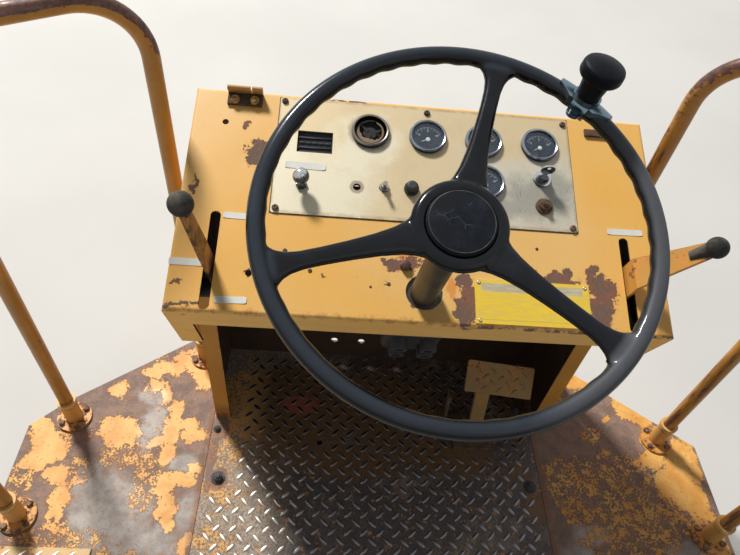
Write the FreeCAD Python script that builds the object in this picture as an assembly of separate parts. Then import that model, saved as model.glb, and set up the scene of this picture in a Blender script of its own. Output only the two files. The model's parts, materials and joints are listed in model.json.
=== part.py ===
"""Operator's station of a road roller.

A sloping sheet-metal console on a pedestal carries the steering column, gauges, switches and two levers.
It stands with a brake pedal on a railed deck, which a welded frame carries.

Millimetres, +Z up. The origin is the centre of the four frame bolts, on the underside of the deck frame.
+Y points ahead of the driver and +X to the driver's right.
"""
import FreeCAD, Part
import math
import os
from FreeCAD import Placement, Rotation
from FreeCAD import Vector as V

X_AXIS = V(1, 0, 0)
Y_AXIS = V(0, 1, 0)
Z_AXIS = V(0, 0, 1)

# Deck frame
frame_height = 80.0
channel_width = 45.0
channel_wall = 6.0
frame_bolt_across = 560.0
frame_bolt_along = 300.0
frame_bolt_hole = 18.0
cross_member_places = (-185.0, 60.0, 275.0)
outrigger_plate = 6.0
outrigger_flange = 40.0
outrigger_tip_depth = 32.0
outrigger_tip_gap = 6.0

# Deck plates
deck_plate = 6.0
deck_front = 356.0
deck_rear = -240.0
deck_skirt = 30.0
seam_gap = 1.0
drain_hole = 12.0
drain_hole_place = (-136.0, 100.0)
tread_plate = 4.0
tread_width = 194.0
tread_front_edge = -137.0
tread_edge_margin = 8.0

# Columns: side, then how far out from the console's side: seam, front corner, shoulder, outer edge;
# then y of the shoulder and of the outer edge's end
deck_edges = (
    (-1, 5.5, 82.5, 322.5, 389.5, 178.0, 112.0),
    (1, -20.5, 57.5, 364.5, 368.5, 130.0, 124.0),
)

# Guard rails
rail_pipe = 27.0
rail_wall = 2.9
rail_top = 870.0
rail_bend = 100.0
socket_flange = 70.0
socket_flange_plate = 6.0
socket_sleeve_wall = 3.5
socket_sleeve_height = 70.0
socket_ring_wall = 2.0
socket_ring_height = 8.0
pipe_fit = 0.1
pedestal_gap = 3.0

# Columns: side, then for the front, middle and rear post: how far out from the console's side, and y
rail_posts = (
    (-1, 50.0, 310.0, 300.5, 135.0, 342.5, -80.0),
    (1, 38.5, 311.0, 276.5, 140.0, 321.5, -79.0),
)

# Console: u runs across from its middle, v up the slope from the near edge, h off the top face.
# A place on it is a percentage of its width (u) and of its length (v).
console_width = 735.0
console_length = 376.0
console_depth = 155.0
console_slope = 19.8
console_near_height = 574.6
console_sheet = 4.0
console_bend = 6.0
near_lip = 60.0
near_flange = 33.0

# Pedestal
pedestal_plate = 5.0
pedestal_near_share = 40.2
pedestal_far_share = 90.4
pedestal_flange = 31.0
far_panel_hole = 16.0
far_panel_holes_u = (-15.6, -6.9, 1.9)
far_panel_holes_height = 60.0

# Instrument plate and what it holds, with places in percent
plate_sheet = 2.0
plate_near_left = (-31.7, 42.6)
plate_far_right = (32.2, 97.9)
plate_corner = 4.0
hole_gap = 0.4
gauge_bezel = 60.0
gauge_can = 52.0
gauge_depth = 45.0
gauge_bezel_height = 8.0
gauge_rim = 4.0
dial_recess = 6.0
empty_recess = 18.0
dial_sheet = 1.0
lens_sheet = 1.6
lens_recess = 1.5

# Columns: name, u, v, recess of the face below the bezel
gauges = (
    ("gauge_empty", -12.0, 83.5, empty_recess),
    ("gauge_left", 0.5, 83.0, dial_recess),
    ("gauge_middle", 12.8, 82.7, dial_recess),
    ("gauge_right", 25.3, 83.0, dial_recess),
    ("gauge_low", 12.8, 62.8, dial_recess),
)
meter_window_width = 55.0
meter_window_height = 39.0
meter_place = (-23.7, 76.5)
meter_rim = 4.0
meter_depth = 40.0
meter_recess = 3.0

ball_switch_place = (-25.9, 55.9)
ball_switch_ball = 25.0
ball_switch_reach = 25.0
ball_switch_nut = 16.0
ball_switch_nut_height = 5.0
toggle_place = (-8.7, 57.2)
toggle_reach = 22.0
toggle_lean = 12.0
toggle_nut = 14.0
toggle_nut_height = 3.0
toggle_tip = 6.8
button_place = (-3.0, 57.2)
button_ring = 23.0
button_ring_height = 5.0
button_cap = 19.0
button_height = 15.0
button_round = 4.0
key_place = (25.3, 66.5)
key_ring = 28.0
key_ring_height = 3.0
key_barrel = 22.0
key_barrel_height = 15.0
key_bow = 22.0
key_reach = 40.0
key_sheet = 2.4
seized_knob_place = (25.3, 53.5)
seized_knob_width = 27.0
seized_knob_height = 8.0
seized_knob_step = 19.0
seized_knob_stub = 10.0
switch_body = 16.0
switch_body_depth = 24.0
spare_hole = 12.0
spare_hole_place = (-14.4, 56.6)
console_hole = 10.0
console_hole_places = ((-42.9, 83.5), (-34.6, 16.5))

data_plate_near_left = (9.8, 1.6)
data_plate_far_right = (33.1, 19.7)
data_plate_sheet = 1.5

# Hinge leaves left on the far edge of the console, each from one place across it to another
hinge_sheet = 5.0
hinge_left_span = (-43.0, -35.6)
hinge_right_span = (36.1, 43.0)
hinge_base = 24.0
hinge_upright = 18.0
hinge_eye = 8.0
hinge_gap_inset = 19.0
hinge_gap = 3.0
hinge_hole = 7.0
hinge_hole_inset = 12.0
hinge_stub = 12.0
hinge_stub_edge = 25.0

# Steering
column_foot_place = (-0.3, 12.9)
column_reach = 238.0
column_tilt = 21.5
wheel_outer = 460.6
wheel_rim = 21.4
wheel_dish = 8.5
wheel_hub = 111.0
wheel_hub_rise = 8.0
wheel_boss = 48.0
wheel_boss_drop = 34.0
hub_cap = 79.0
hub_cap_height = 7.0
cap_seat = 4.0
spoke_angles = (77.0, 198.0, 321.0)
spoke_width_hub = 40.0
spoke_width_rim = 20.0
spoke_thick_hub = 21.0
spoke_thick_rim = 14.0
column_pipe = 40.0
column_hole = 54.0
column_wall = 4.0
column_gap = 5.0
column_drop = 70.0
column_flange = 84.0
column_flange_plate = 8.0
shaft_rod = 22.0
shaft_reach = 60.0
shaft_fit = 0.06
bearing_height = 30.0
steering_unit_width = 92.0
steering_unit_height = 88.0
steering_port = 26.0
steering_port_reach = 18.0

# Spinner knob on the rim of the wheel
spinner_angle = 47.9
spinner_lean = 15.0
spinner_side_lean = 5.0
spinner_saddle_length = 74.0
spinner_saddle_lobe = 20.0
spinner_saddle_waist = 17.0
spinner_plate = 3.5
spinner_seat = 2.0
spinner_hoop = 22.0
spinner_ear = 17.0
spinner_ear_reach = 30.0
spinner_screw = 11.0
spinner_stem = 29.0
spinner_neck = 34.0
spinner_stem_height = 24.0
spinner_head = 51.0
spinner_head_height = 22.0

# Levers: each pivots on a pin below its slot
slot_near_share = 1.1
slot_far_share = 41.8
slot_width = 15.0
pivot_depth = 120.0
lever_bar = 5.0
lever_tip_width = 20.0
lever_hub = 32.0
lever_hub_length = 26.0
lever_pin = 16.0
lever_fit = 0.06
lever_pin_collar = 24.0
lever_pin_collar_height = 5.0
lever_side_gap = 0.3
lever_bracket_plate = 8.0
lever_bracket_size = 56.0
knob_wide = 30.0
knob_neck = 15.0
knob_shoulder = 42.0

# Columns: name, place of the slot across the console, lean at rest, bar width, height of the bend,
# outward lean, knob reach above the console, knob length
levers = (
    ("direction", -42.3, 3.6, 32.0, 60.0, 0.0, 196.0, 38.0),
    ("throttle", 41.9, -3.0, 48.0, 24.0, 36.0, 108.0, 50.0),
)

# Brake pedal
pedal_from_side = 159.5
pedal_y = 140.0
pedal_axis_height = 38.0
pedal_pin = 14.0
pedal_fit = 0.06
pedal_hub = 28.0
pedal_hub_length = 34.0
pedal_side_gap = 0.4
pedal_ear = 8.0
pedal_ear_width = 34.0
pedal_base_length = 84.0
pedal_base_width = 90.0
pedal_base_plate = 8.0
pedal_arm_width = 30.0
pedal_arm = 10.0
pedal_arm_length = 118.0
pedal_arm_lean = 18.0
pedal_pad_width = 145.0
pedal_pad_length = 68.0
pedal_pad_plate = 6.0
pedal_pad_slope = 42.0
pedal_pad_shift = 30.0
pedal_pad_corner = 4.0
pedal_pad_turn = 5.0
latch_from_pedal = 58.0
latch_y = 176.0
latch_foot = 26.0
latch_bar = 6.0
latch_width = 12.0
latch_height = 112.0
latch_lean = 5.0

# Worked out from the sizes above
deck_top = frame_height + deck_plate
console_half = console_width / 2
per_width = console_width / 100
per_length = console_length / 100
rail_line = frame_bolt_across / 2
web_inner = rail_line - channel_width / 2
web_outer = rail_line + channel_width / 2
slot_low = slot_near_share * per_length
slot_high = slot_far_share * per_length
slot_middle = (slot_low + slot_high) / 2
pedestal_near = pedestal_near_share * per_length
pedestal_far = pedestal_far_share * per_length
pedal_x = console_half - pedal_from_side
latch_x = pedal_x - latch_from_pedal
wheel_radius = (wheel_outer - wheel_rim) / 2
slope_rise = math.tan(math.radians(console_slope))
panel_frame = Placement(V(0, 0, deck_top + console_near_height), Rotation(X_AXIS, console_slope))
column_turn = Rotation(X_AXIS, column_tilt)
column_foot = V(column_foot_place[0] * per_width, column_foot_place[1] * per_length, 0)
wheel_centre = panel_frame.multVec(column_foot) + column_turn.multVec(Z_AXIS) * column_reach
wheel_frame = Placement(wheel_centre, column_turn)


def box(x_from, x_to, y_from, y_to, z_from, z_to):
    """A block between two corners."""
    return Part.makeBox(x_to - x_from, y_to - y_from, z_to - z_from, V(x_from, y_from, z_from))


def rod(radius, start, direction, length):
    """A round bar from a point along a direction."""
    return Part.makeCylinder(radius, length, start, direction)


def pipe(outer, inner, start, direction, length):
    """A round bar with a bore right through."""
    return rod(outer, start, direction, length).cut(rod(inner, start, direction, length))


def plate(corners, z_from, z_to):
    """A flat plate with the outline that the (x, y) corners give."""
    points = [V(x, y, z_from) for x, y in corners]
    return Part.Face(Part.makePolygon(points + points[:1])).extrude(V(0, 0, z_to - z_from))


def side_plate(corners, x_from, x_to):
    """An upright plate across X with the outline that the (y, z) corners give."""
    points = [V(x_from, y, z) for y, z in corners]
    return Part.Face(Part.makePolygon(points + points[:1])).extrude(V(x_to - x_from, 0, 0))


def turned(profile, centre=V(0, 0, 0)):
    """A body of revolution about Z from its (radius, height) profile."""
    points = [centre + V(radius, 0, height) for radius, height in profile]
    face = Part.Face(Part.makePolygon(points + points[:1]))
    return face.revolve(centre, Z_AXIS, 360)


def turned_round(start, steps):
    """A body of revolution about Z, outlined from its start by steps of (radius, height) and closed along Z.

    A step of one pair is a line, and a step of two is an arc through the first pair to the second.
    """
    first = V(start[0], 0, start[1])
    foot = V(0, 0, start[1])
    edges = [Part.makeLine(foot, first)]
    at = first
    for step in steps:
        points = [V(radius, 0, height) for radius, height in step]
        if len(points) == 1:
            edges.append(Part.makeLine(at, points[0]))
        else:
            edges.append(Part.Arc(at, points[0], points[1]).toShape())
        at = points[-1]
    edges.append(Part.makeLine(at, foot))
    return Part.Face(Part.Wire(edges)).revolve(V(0, 0, 0), Z_AXIS, 360)


def dome_step(radius, low, high):
    """The step that closes a turned body with part of a ball centred on its axis."""
    ball = (radius ** 2 + (high - low) ** 2) / (2 * (high - low))
    half_way = radius / 2
    return (half_way, high - ball + math.sqrt(ball ** 2 - half_way ** 2)), (0, high)


def hexagon(width, centre, height):
    """A hexagonal nut, width across its flats."""
    radius = width / 2 / math.cos(math.radians(30))
    corners = [(centre.x + radius * math.cos(math.radians(60 * k)),
                centre.y + radius * math.sin(math.radians(60 * k))) for k in range(6)]
    return plate(corners, centre.z, centre.z + height)


def joined(shapes):
    """One solid from pieces that meet."""
    whole = shapes[0]
    for shape in shapes[1:]:
        whole = whole.fuse(shape)
    return whole.removeSplitter()


def placed(shape, frame):
    """The shape moved from a local frame to the part's frame."""
    moved = shape.copy()
    moved.Placement = frame.multiply(moved.Placement)
    return moved


def on_panel(shape):
    """The shape moved from console coordinates (u, v, h) to the part's frame."""
    return placed(shape, panel_frame)


def on_wheel(shape):
    """The shape moved from wheel coordinates, with its axis along local Z, to the part's frame."""
    return placed(shape, wheel_frame)


def spot(place):
    """A place on the console, from percent to millimetres."""
    u, v = place
    return u * per_width, v * per_length


def gauge_spots():
    """Each gauge with its place in millimetres."""
    return [(name, *spot((u, v)), recess) for name, u, v, recess in gauges]


def switch_spots():
    """The places of the switches, whose round bodies go through the console top."""
    places = (ball_switch_place, toggle_place, button_place, key_place, seized_knob_place)
    return [spot(place) for place in places]


def meter_box(margin, low, high):
    """A block over the hour meter's window, wider by a margin."""
    u, v = spot(meter_place)
    half_u = meter_window_width / 2 + margin
    half_v = meter_window_height / 2 + margin
    return box(u - half_u, u + half_u, v - half_v, v + half_v, low, high)


def lever_u(row):
    """The line across the console that a lever and its slot lie on."""
    return row[1] * per_width


def posts(row):
    """The label and place of each post of one guard rail."""
    side = row[0]
    spots = []
    for label, out, y in (("front", row[1], row[2]), ("middle", row[3], row[4]), ("rear", row[5], row[6])):
        spots.append((label, side * (console_half + out), y))
    return spots


def edges_along(shape, direction, low, high):
    """The straight edges parallel to a direction whose middle lies between two corners."""
    found = []
    for edge in shape.Edges:
        start, end = edge.Vertexes[0].Point, edge.Vertexes[-1].Point
        middle = (start + end) * 0.5
        run = end - start
        along = run.Length > 0 and abs(run.normalize().dot(direction)) > 0.999
        inside = all(low[k] <= middle[k] <= high[k] for k in range(3))
        if along and inside:
            found.append(edge)
    return found


def deck_corner_list(side):
    """The outline of one outer deck plate, from the seam round its outer edge."""
    for row_side, seam, front, shoulder, outer, shoulder_y, outer_y in deck_edges:
        if row_side == side:
            seam_x, front_x, shoulder_x, outer_x = [side * (console_half + out)
                                                    for out in (seam, front, shoulder, outer)]
            return [(seam_x, deck_rear), (seam_x, deck_front), (front_x, deck_front),
                    (shoulder_x, shoulder_y), (outer_x, outer_y), (outer_x, deck_rear)]
    return []


def deck_edge_x(side, y):
    """How far out the deck reaches at a place along Y."""
    corners = deck_corner_list(side)[2:]
    for (x_a, y_a), (x_b, y_b) in zip(corners, corners[1:]):
        if y_b <= y <= y_a:
            return x_a + (x_b - x_a) * (y_a - y) / (y_a - y_b)
    return corners[-1][0]


def deck_side(side):
    """An outer deck plate with its edge folded down, open towards the seam."""
    outline = deck_corner_list(side)
    low = deck_top - deck_skirt
    whole = plate(outline, low, deck_top)
    points = [V(x, y, low) for x, y in outline]
    face = Part.Face(Part.makePolygon(points + points[:1]))
    inside = face.makeOffset2D(-deck_plate).extrude(V(0, 0, deck_skirt - deck_plate))
    seam = outline[0][0]
    mouth = box(min(seam, seam + side * deck_skirt), max(seam, seam + side * deck_skirt),
                deck_rear + deck_plate, deck_front - deck_plate, low, deck_top - deck_plate)
    return whole.cut(inside.fuse(mouth))


def deck_centre():
    """The middle deck plate, folded down in front and behind."""
    x_from = deck_corner_list(-1)[0][0] + seam_gap
    x_to = deck_corner_list(1)[0][0] - seam_gap
    top = box(x_from, x_to, deck_rear, deck_front, deck_top - deck_plate, deck_top)
    front = box(x_from, x_to, deck_front - deck_plate, deck_front, deck_top - deck_skirt, deck_top)
    rear = box(x_from, x_to, deck_rear, deck_rear + deck_plate, deck_top - deck_skirt, deck_top)
    hole_x, hole_y = drain_hole_place
    hole = rod(drain_hole / 2, V(hole_x, hole_y, 0), Z_AXIS, deck_top + 1)
    return joined([top, front, rear]).cut(hole)


def rear_tread():
    """The loose tread plate on the left rear corner of the deck."""
    outer = deck_edge_x(-1, tread_front_edge) + tread_edge_margin
    return box(outer, outer + tread_width, deck_rear + tread_edge_margin, tread_front_edge,
               deck_top, deck_top + tread_plate)


def frame_rail(side):
    """A channel along the deck, its flanges outwards, with two frame bolt holes."""
    y_from = deck_rear + deck_plate + 1
    y_to = deck_front - deck_plate - 1
    inner = side * web_inner
    outer = side * web_outer
    whole = box(min(inner, outer), max(inner, outer), y_from, y_to, 0, frame_height)
    mouth_from = inner + side * channel_wall
    mouth = box(min(mouth_from, outer), max(mouth_from, outer), y_from, y_to,
                channel_wall, frame_height - channel_wall)
    rail = whole.cut(mouth)
    for end in (-1, 1):
        place = V(side * rail_line, end * frame_bolt_along / 2, 0)
        rail = rail.cut(rod(frame_bolt_hole / 2, place, Z_AXIS, channel_wall))
    return rail


def cross_members():
    """Channels between the two frame rails, open towards the rear."""
    members = []
    for y in cross_member_places:
        whole = box(-web_inner, web_inner, y - channel_width, y, 0, frame_height)
        mouth = box(-web_inner, web_inner, y - channel_width, y - channel_wall,
                    channel_wall, frame_height - channel_wall)
        members.append(whole.cut(mouth))
    return Part.makeCompound(members)


def outriggers(side):
    """Tapered brackets that carry an outer deck plate out from its frame rail."""
    brackets = []
    for y in cross_member_places:
        root = side * web_outer
        tip = deck_edge_x(side, y + outrigger_flange / 2) - side * (deck_plate + outrigger_tip_gap)
        corners = [(root, 0), (root, frame_height), (tip, frame_height),
                   (tip, frame_height - outrigger_tip_depth)]
        points = [V(x, y - outrigger_plate / 2, z) for x, z in corners]
        web = Part.Face(Part.makePolygon(points + points[:1])).extrude(V(0, outrigger_plate, 0))
        flange = box(min(root, tip), max(root, tip), y - outrigger_flange / 2, y + outrigger_flange / 2,
                     frame_height - channel_wall, frame_height)
        brackets.append(joined([web, flange]))
    return Part.makeCompound(brackets)


def skirt_bottom(y):
    """Height of the lower edge of the console's side skirts at a place along Y."""
    slope = math.radians(console_slope)
    corner_y = console_depth * math.sin(slope)
    corner_z = deck_top + console_near_height - console_depth * math.cos(slope)
    return corner_z + (y - corner_y) * slope_rise


def pedestal_side(side):
    """A side plate of the pedestal with its near edge turned inwards."""
    near = pedestal_near
    far = pedestal_far
    outline = [(near, deck_top), (far, deck_top), (far, skirt_bottom(far)), (near, skirt_bottom(near))]
    outer = side * console_half
    inner = outer - side * pedestal_plate
    web = side_plate(outline, min(outer, inner), max(outer, inner))
    turn = near + pedestal_plate
    strip = [(near, deck_top), (turn, deck_top), (turn, skirt_bottom(turn)), (near, skirt_bottom(near))]
    edge = outer - side * pedestal_flange
    flange = side_plate(strip, min(outer, edge), max(outer, edge))
    return joined([web, flange])


def pedestal_back():
    """The far panel between the pedestal's side plates, with three cable holes."""
    inner = console_half - pedestal_plate
    far = pedestal_far
    near = far - pedestal_plate
    outline = [(near, deck_top), (far, deck_top), (far, skirt_bottom(far)), (near, skirt_bottom(near))]
    panel = side_plate(outline, -inner, inner)
    for u in far_panel_holes_u:
        start = V(u * per_width, near, deck_top + far_panel_holes_height)
        panel = panel.cut(rod(far_panel_hole / 2, start, Y_AXIS, pedestal_plate))
    return panel


def lever_slot(u):
    """The opening that a lever moves in, with round ends."""
    half = slot_width / 2
    near = slot_low + half
    far = slot_high - half
    deep = console_sheet + 1
    middle = box(u - half, u + half, near, far, -deep, deep)
    ends = [rod(half, V(u, v, -deep), Z_AXIS, 2 * deep) for v in (near, far)]
    return joined([middle] + ends)


def console_shell():
    """The folded console box: sloping top, four skirts, open below and open to the driver's knees."""
    outer = box(-console_half, console_half, 0, console_length, -console_depth, 0)
    reach = V(console_half + 1, console_length + 1, 1)
    across = edges_along(outer, X_AXIS, V(-1, -1, -1), V(1, reach.y, 1))
    along = edges_along(outer, Y_AXIS, V(-reach.x, 0, -1), reach)
    outer = outer.makeFillet(console_bend, across + along)
    inner_half = console_half - console_sheet
    inner = box(-inner_half, inner_half, console_sheet, console_length - console_sheet,
                -console_depth, -console_sheet)
    opening_half = console_half - near_flange
    opening = box(-opening_half, opening_half, 0, console_sheet, -console_depth, -near_lip)
    shell = outer.cut(inner.fuse(opening))
    cuts = [lever_slot(lever_u(row)) for row in levers]
    deep = console_sheet
    for name, u, v, recess in gauge_spots():
        cuts.append(rod(gauge_can / 2 + hole_gap, V(u, v, -deep), Z_AXIS, deep))
    cuts.append(meter_box(meter_rim + hole_gap, -deep, 0))
    for u, v in switch_spots():
        cuts.append(rod(switch_body / 2 + hole_gap, V(u, v, -deep), Z_AXIS, deep))
    cuts.append(rod(spare_hole / 2, V(*spot(spare_hole_place), -deep), Z_AXIS, deep))
    for place in console_hole_places:
        cuts.append(rod(console_hole / 2, V(*spot(place), -deep), Z_AXIS, deep))
    shell = on_panel(shell.cut(Part.makeCompound(cuts)))
    column = rod(column_hole / 2, V(0, 0, 0), V(0, 0, -1), column_reach + column_drop)
    return shell.cut(on_wheel(column))


def instrument_plate():
    """The flat plate that carries the gauges and switches."""
    left, near = spot(plate_near_left)
    right, far = spot(plate_far_right)
    sheet = box(left, right, near, far, 0, plate_sheet)
    corners = edges_along(sheet, Z_AXIS, V(left - 1, near - 1, 0), V(right + 1, far + 1, plate_sheet))
    sheet = sheet.makeFillet(plate_corner, corners)
    cuts = [meter_box(0, 0, plate_sheet)]
    for name, u, v, recess in gauge_spots():
        cuts.append(rod(gauge_can / 2 + hole_gap, V(u, v, 0), Z_AXIS, plate_sheet))
    for u, v in switch_spots():
        cuts.append(rod(switch_body / 2 + hole_gap, V(u, v, 0), Z_AXIS, plate_sheet))
    cuts.append(rod(spare_hole / 2, V(*spot(spare_hole_place), 0), Z_AXIS, plate_sheet))
    return on_panel(sheet.cut(Part.makeCompound(cuts)))


def gauge_case(u, v, recess):
    """A round gauge: bezel on the plate, can behind it, and the recess that its dial sits in."""
    bezel = gauge_bezel / 2
    can = gauge_can / 2
    mouth = bezel - gauge_rim
    top = plate_sheet + gauge_bezel_height
    face = top - recess
    profile = ((0, -gauge_depth), (can, -gauge_depth), (can, plate_sheet), (bezel, plate_sheet),
               (bezel, top - gauge_rim / 2), (bezel - gauge_rim / 2, top), (mouth, top - 1),
               (mouth, face), (0, face))
    return on_panel(turned(profile, V(u, v, 0)))


def gauge_faces():
    """The dials of the gauges that still have them."""
    radius = gauge_bezel / 2 - gauge_rim - hole_gap
    faces = []
    for name, u, v, recess in gauge_spots():
        if recess == dial_recess:
            base = plate_sheet + gauge_bezel_height - recess
            faces.append(on_panel(rod(radius, V(u, v, base), Z_AXIS, dial_sheet)))
    return Part.makeCompound(faces)


def gauge_lenses():
    """The glasses of the gauges that still have them."""
    radius = gauge_bezel / 2 - gauge_rim - hole_gap / 4
    lenses = []
    for name, u, v, recess in gauge_spots():
        if recess == dial_recess:
            base = plate_sheet + gauge_bezel_height - lens_recess - lens_sheet
            lenses.append(on_panel(rod(radius, V(u, v, base), Z_AXIS, lens_sheet)))
    return Part.makeCompound(lenses)


def hour_meter():
    """The meter behind the window in the instrument plate."""
    body = meter_box(meter_rim, -meter_depth, 0)
    return on_panel(body.cut(meter_box(0, -meter_recess, 0)))


def switch_can(u, v):
    """The round body of a switch, behind the instrument plate."""
    return rod(switch_body / 2, V(u, v, -switch_body_depth), Z_AXIS, switch_body_depth + plate_sheet)


def ball_switch():
    """The switch with a ball on its stem."""
    u, v = spot(ball_switch_place)
    ball = ball_switch_ball / 2
    start = V(u, v, plate_sheet)
    nut = hexagon(ball_switch_nut, start, ball_switch_nut_height)
    stem = rod(ball * 0.35, start, Z_AXIS, ball_switch_reach)
    head = Part.makeSphere(ball, start + V(0, 0, ball_switch_reach))
    return on_panel(joined([switch_can(u, v), nut, stem, head]))


def toggle_switch():
    """The small toggle, leaning towards the driver."""
    u, v = spot(toggle_place)
    start = V(u, v, plate_sheet)
    nut = hexagon(toggle_nut, start, toggle_nut_height)
    neck = rod(switch_body * 0.35, start, Z_AXIS, toggle_reach * 0.4)
    bat = Part.makeCone(toggle_tip * 0.3, toggle_tip / 2, toggle_reach, start, Z_AXIS)
    bat.rotate(start, X_AXIS, toggle_lean)
    return on_panel(joined([switch_can(u, v), nut, neck, bat]))


def push_button():
    """The push button under its rubber cap."""
    u, v = spot(button_place)
    ring = button_ring / 2
    cap = button_cap / 2
    step = plate_sheet + button_ring_height
    top = plate_sheet + button_height
    profile = ((0, plate_sheet), (ring, plate_sheet), (ring, step), (cap, step), (cap, top - button_round),
               (cap - button_round * 0.4, top - button_round * 0.3), (cap - button_round, top), (0, top))
    return on_panel(joined([switch_can(u, v), turned(profile, V(u, v, 0))]))


def key_switch():
    """The key switch with its key left in."""
    u, v = spot(key_place)
    ring = key_ring / 2
    barrel = key_barrel / 2
    step = plate_sheet + key_ring_height
    top = plate_sheet + key_barrel_height
    profile = ((0, plate_sheet), (ring, plate_sheet), (ring, step), (barrel, step),
               (barrel * 0.86, top), (0, top))
    body = switch_can(u, v)
    bow_height = plate_sheet + key_reach - key_bow / 2
    blade = box(u - key_bow / 6, u + key_bow / 6, v - key_sheet / 2, v + key_sheet / 2, step, bow_height)
    middle = V(u, v - key_sheet / 2, bow_height)
    ring_hole = rod(key_bow / 7, middle + V(0, 0, key_bow / 4), Y_AXIS, key_sheet)
    bow = rod(key_bow / 2, middle, Y_AXIS, key_sheet).cut(ring_hole)
    return on_panel(joined([body, turned(profile, V(u, v, 0)), blade, bow]))


def seized_knob():
    """The rusted knob that no longer turns."""
    u, v = spot(seized_knob_place)
    wide = seized_knob_width / 2
    step = seized_knob_step / 2
    stub = seized_knob_stub / 2
    low = plate_sheet + seized_knob_height / 2
    top = plate_sheet + seized_knob_height
    high = top + seized_knob_height
    profile = ((0, plate_sheet), (wide, plate_sheet), (wide, low * 0.8), (wide * 0.9, low), (step, low),
               (step, top * 0.9), (step * 0.85, top), (stub, top), (stub * 0.8, high), (0, high))
    return on_panel(joined([switch_can(u, v), turned(profile, V(u, v, 0))]))


def data_plate():
    """The blank plate below the instruments."""
    left, near = spot(data_plate_near_left)
    right, far = spot(data_plate_far_right)
    return on_panel(box(left, right, near, far, 0, data_plate_sheet))


def hinge_left():
    """The angle leaf at the far edge, where a cover was hinged, with its rolled eye split once."""
    far = console_length - console_bend
    near = far - hinge_base
    left, right = [share * per_width for share in hinge_left_span]
    base = box(left, right, near, far, 0, hinge_sheet)
    upright = box(left, right, far - hinge_sheet, far, 0, hinge_upright)
    eye = rod(hinge_eye / 2, V(left, far - hinge_eye / 2, hinge_upright), X_AXIS, right - left)
    leaf = joined([base, upright, eye])
    gap_from = right - hinge_gap_inset
    gap = box(gap_from, gap_from + hinge_gap, near, far,
              hinge_upright - hinge_eye, hinge_upright + hinge_eye)
    bolts = [rod(hinge_hole / 2, V(u, near + hinge_hole, 0), Z_AXIS, hinge_sheet)
             for u in (left + hinge_hole_inset, right - hinge_hole_inset)]
    return on_panel(leaf.cut(Part.makeCompound([gap] + bolts)))


def hinge_right():
    """What is left of the right hinge leaf."""
    far = console_length - hinge_stub_edge
    left, right = [share * per_width for share in hinge_right_span]
    return on_panel(box(left, right, far - hinge_stub, far, 0, hinge_sheet))


def steering_column():
    """The column pipe with its top bearing and its flange below the console top."""
    outer = column_pipe / 2
    top = -wheel_boss_drop - column_gap
    length = top + column_reach + column_drop
    tube = pipe(outer, outer - column_wall, V(0, 0, top), V(0, 0, -1), length)
    bearing = pipe(outer - column_wall, shaft_rod / 2 + shaft_fit, V(0, 0, top), V(0, 0, -1), bearing_height)
    column = on_wheel(joined([tube, bearing]))
    start = column_foot - V(0, 0, console_sheet)
    flange = on_panel(rod(column_flange / 2, start, V(0, 0, -1), column_flange_plate))
    bore = on_wheel(rod(outer - column_wall, V(0, 0, top), V(0, 0, -1), length))
    return joined([column, flange.cut(bore)])


def steering_unit():
    """The steering valve at the foot of the column, with four open hose ports."""
    top = -column_reach - column_drop
    low = top - steering_unit_height
    half = steering_unit_width / 2
    body = box(-half, half, -half, half, low, top)
    corners = edges_along(body, Z_AXIS, V(-half - 1, -half - 1, low), V(half + 1, half + 1, top))
    body = body.makeFillet(half / 4, corners)
    ports = []
    bores = []
    for share in (-0.5, 0.5):
        for height in (0.3, 0.7):
            start = V(share * half, -half, top - steering_unit_height * height)
            ports.append(rod(steering_port / 2, start, V(0, -1, 0), steering_port_reach))
            mouth = start - V(0, steering_port_reach, 0)
            bores.append(rod(steering_port / 3.5, mouth, Y_AXIS, steering_port_reach))
    return on_wheel(joined([body] + ports).cut(Part.makeCompound(bores)))


def steering_wheel():
    """Rim, three spokes and hub of the steering wheel, in one moulding."""
    rim = Part.makeTorus(wheel_radius, wheel_rim / 2)
    hub = wheel_hub / 2
    boss = wheel_boss / 2
    low = -wheel_boss_drop
    skirt = -wheel_dish - wheel_hub_rise / 2
    top = wheel_hub_rise - wheel_dish
    steps = (((boss, low * 0.75),),
             ((hub * 0.7, skirt + low * 0.15), (hub, skirt)),
             ((hub * 0.975, (skirt + top) / 2 + wheel_hub_rise * 0.2), (hub * 0.84, top)),
             ((0, top),))
    pieces = [rim, turned_round((boss, low), steps)]
    for angle in spoke_angles:
        pieces.append(spoke(angle))
    seat = rod(hub_cap / 2 + hole_gap, V(0, 0, cap_seat - wheel_dish), Z_AXIS, wheel_rim)
    return on_wheel(joined(pieces).cut(seat))


def spoke(angle):
    """One arm of the wheel, lofted through oval sections and flared into the hub and the rim."""
    # Columns: share of the way out, width, thickness, share of the dish that its middle lies below the rim
    sections = (
        (0.10, spoke_width_hub * 1.50, spoke_thick_hub * 0.65, 1.0),
        (0.25, spoke_width_hub * 1.15, spoke_thick_hub * 0.80, 1.0),
        (0.38, spoke_width_hub * 0.75, spoke_thick_hub * 0.85, 0.9),
        (0.55, spoke_width_rim * 1.15, spoke_thick_rim * 1.10, 0.65),
        (0.74, spoke_width_rim, spoke_thick_rim, 0.3),
        (0.86, spoke_width_rim * 1.05, spoke_thick_rim, 0.1),
        (0.93, spoke_width_rim * 1.45, spoke_thick_rim, 0.0),
        (0.985, spoke_width_rim * 2.3, spoke_thick_rim, 0.0),
    )
    wires = []
    for share, width, thick, sunk in sections:
        centre = V(wheel_radius * share, 0, -wheel_dish * sunk)
        ellipse = Part.Ellipse(centre + V(0, width / 2, 0), centre + V(0, 0, thick / 2), centre)
        wires.append(Part.Wire([ellipse.toShape()]))
    arm = Part.makeLoft(wires, True, False)
    arm.rotate(V(0, 0, 0), Z_AXIS, angle)
    return arm


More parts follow.
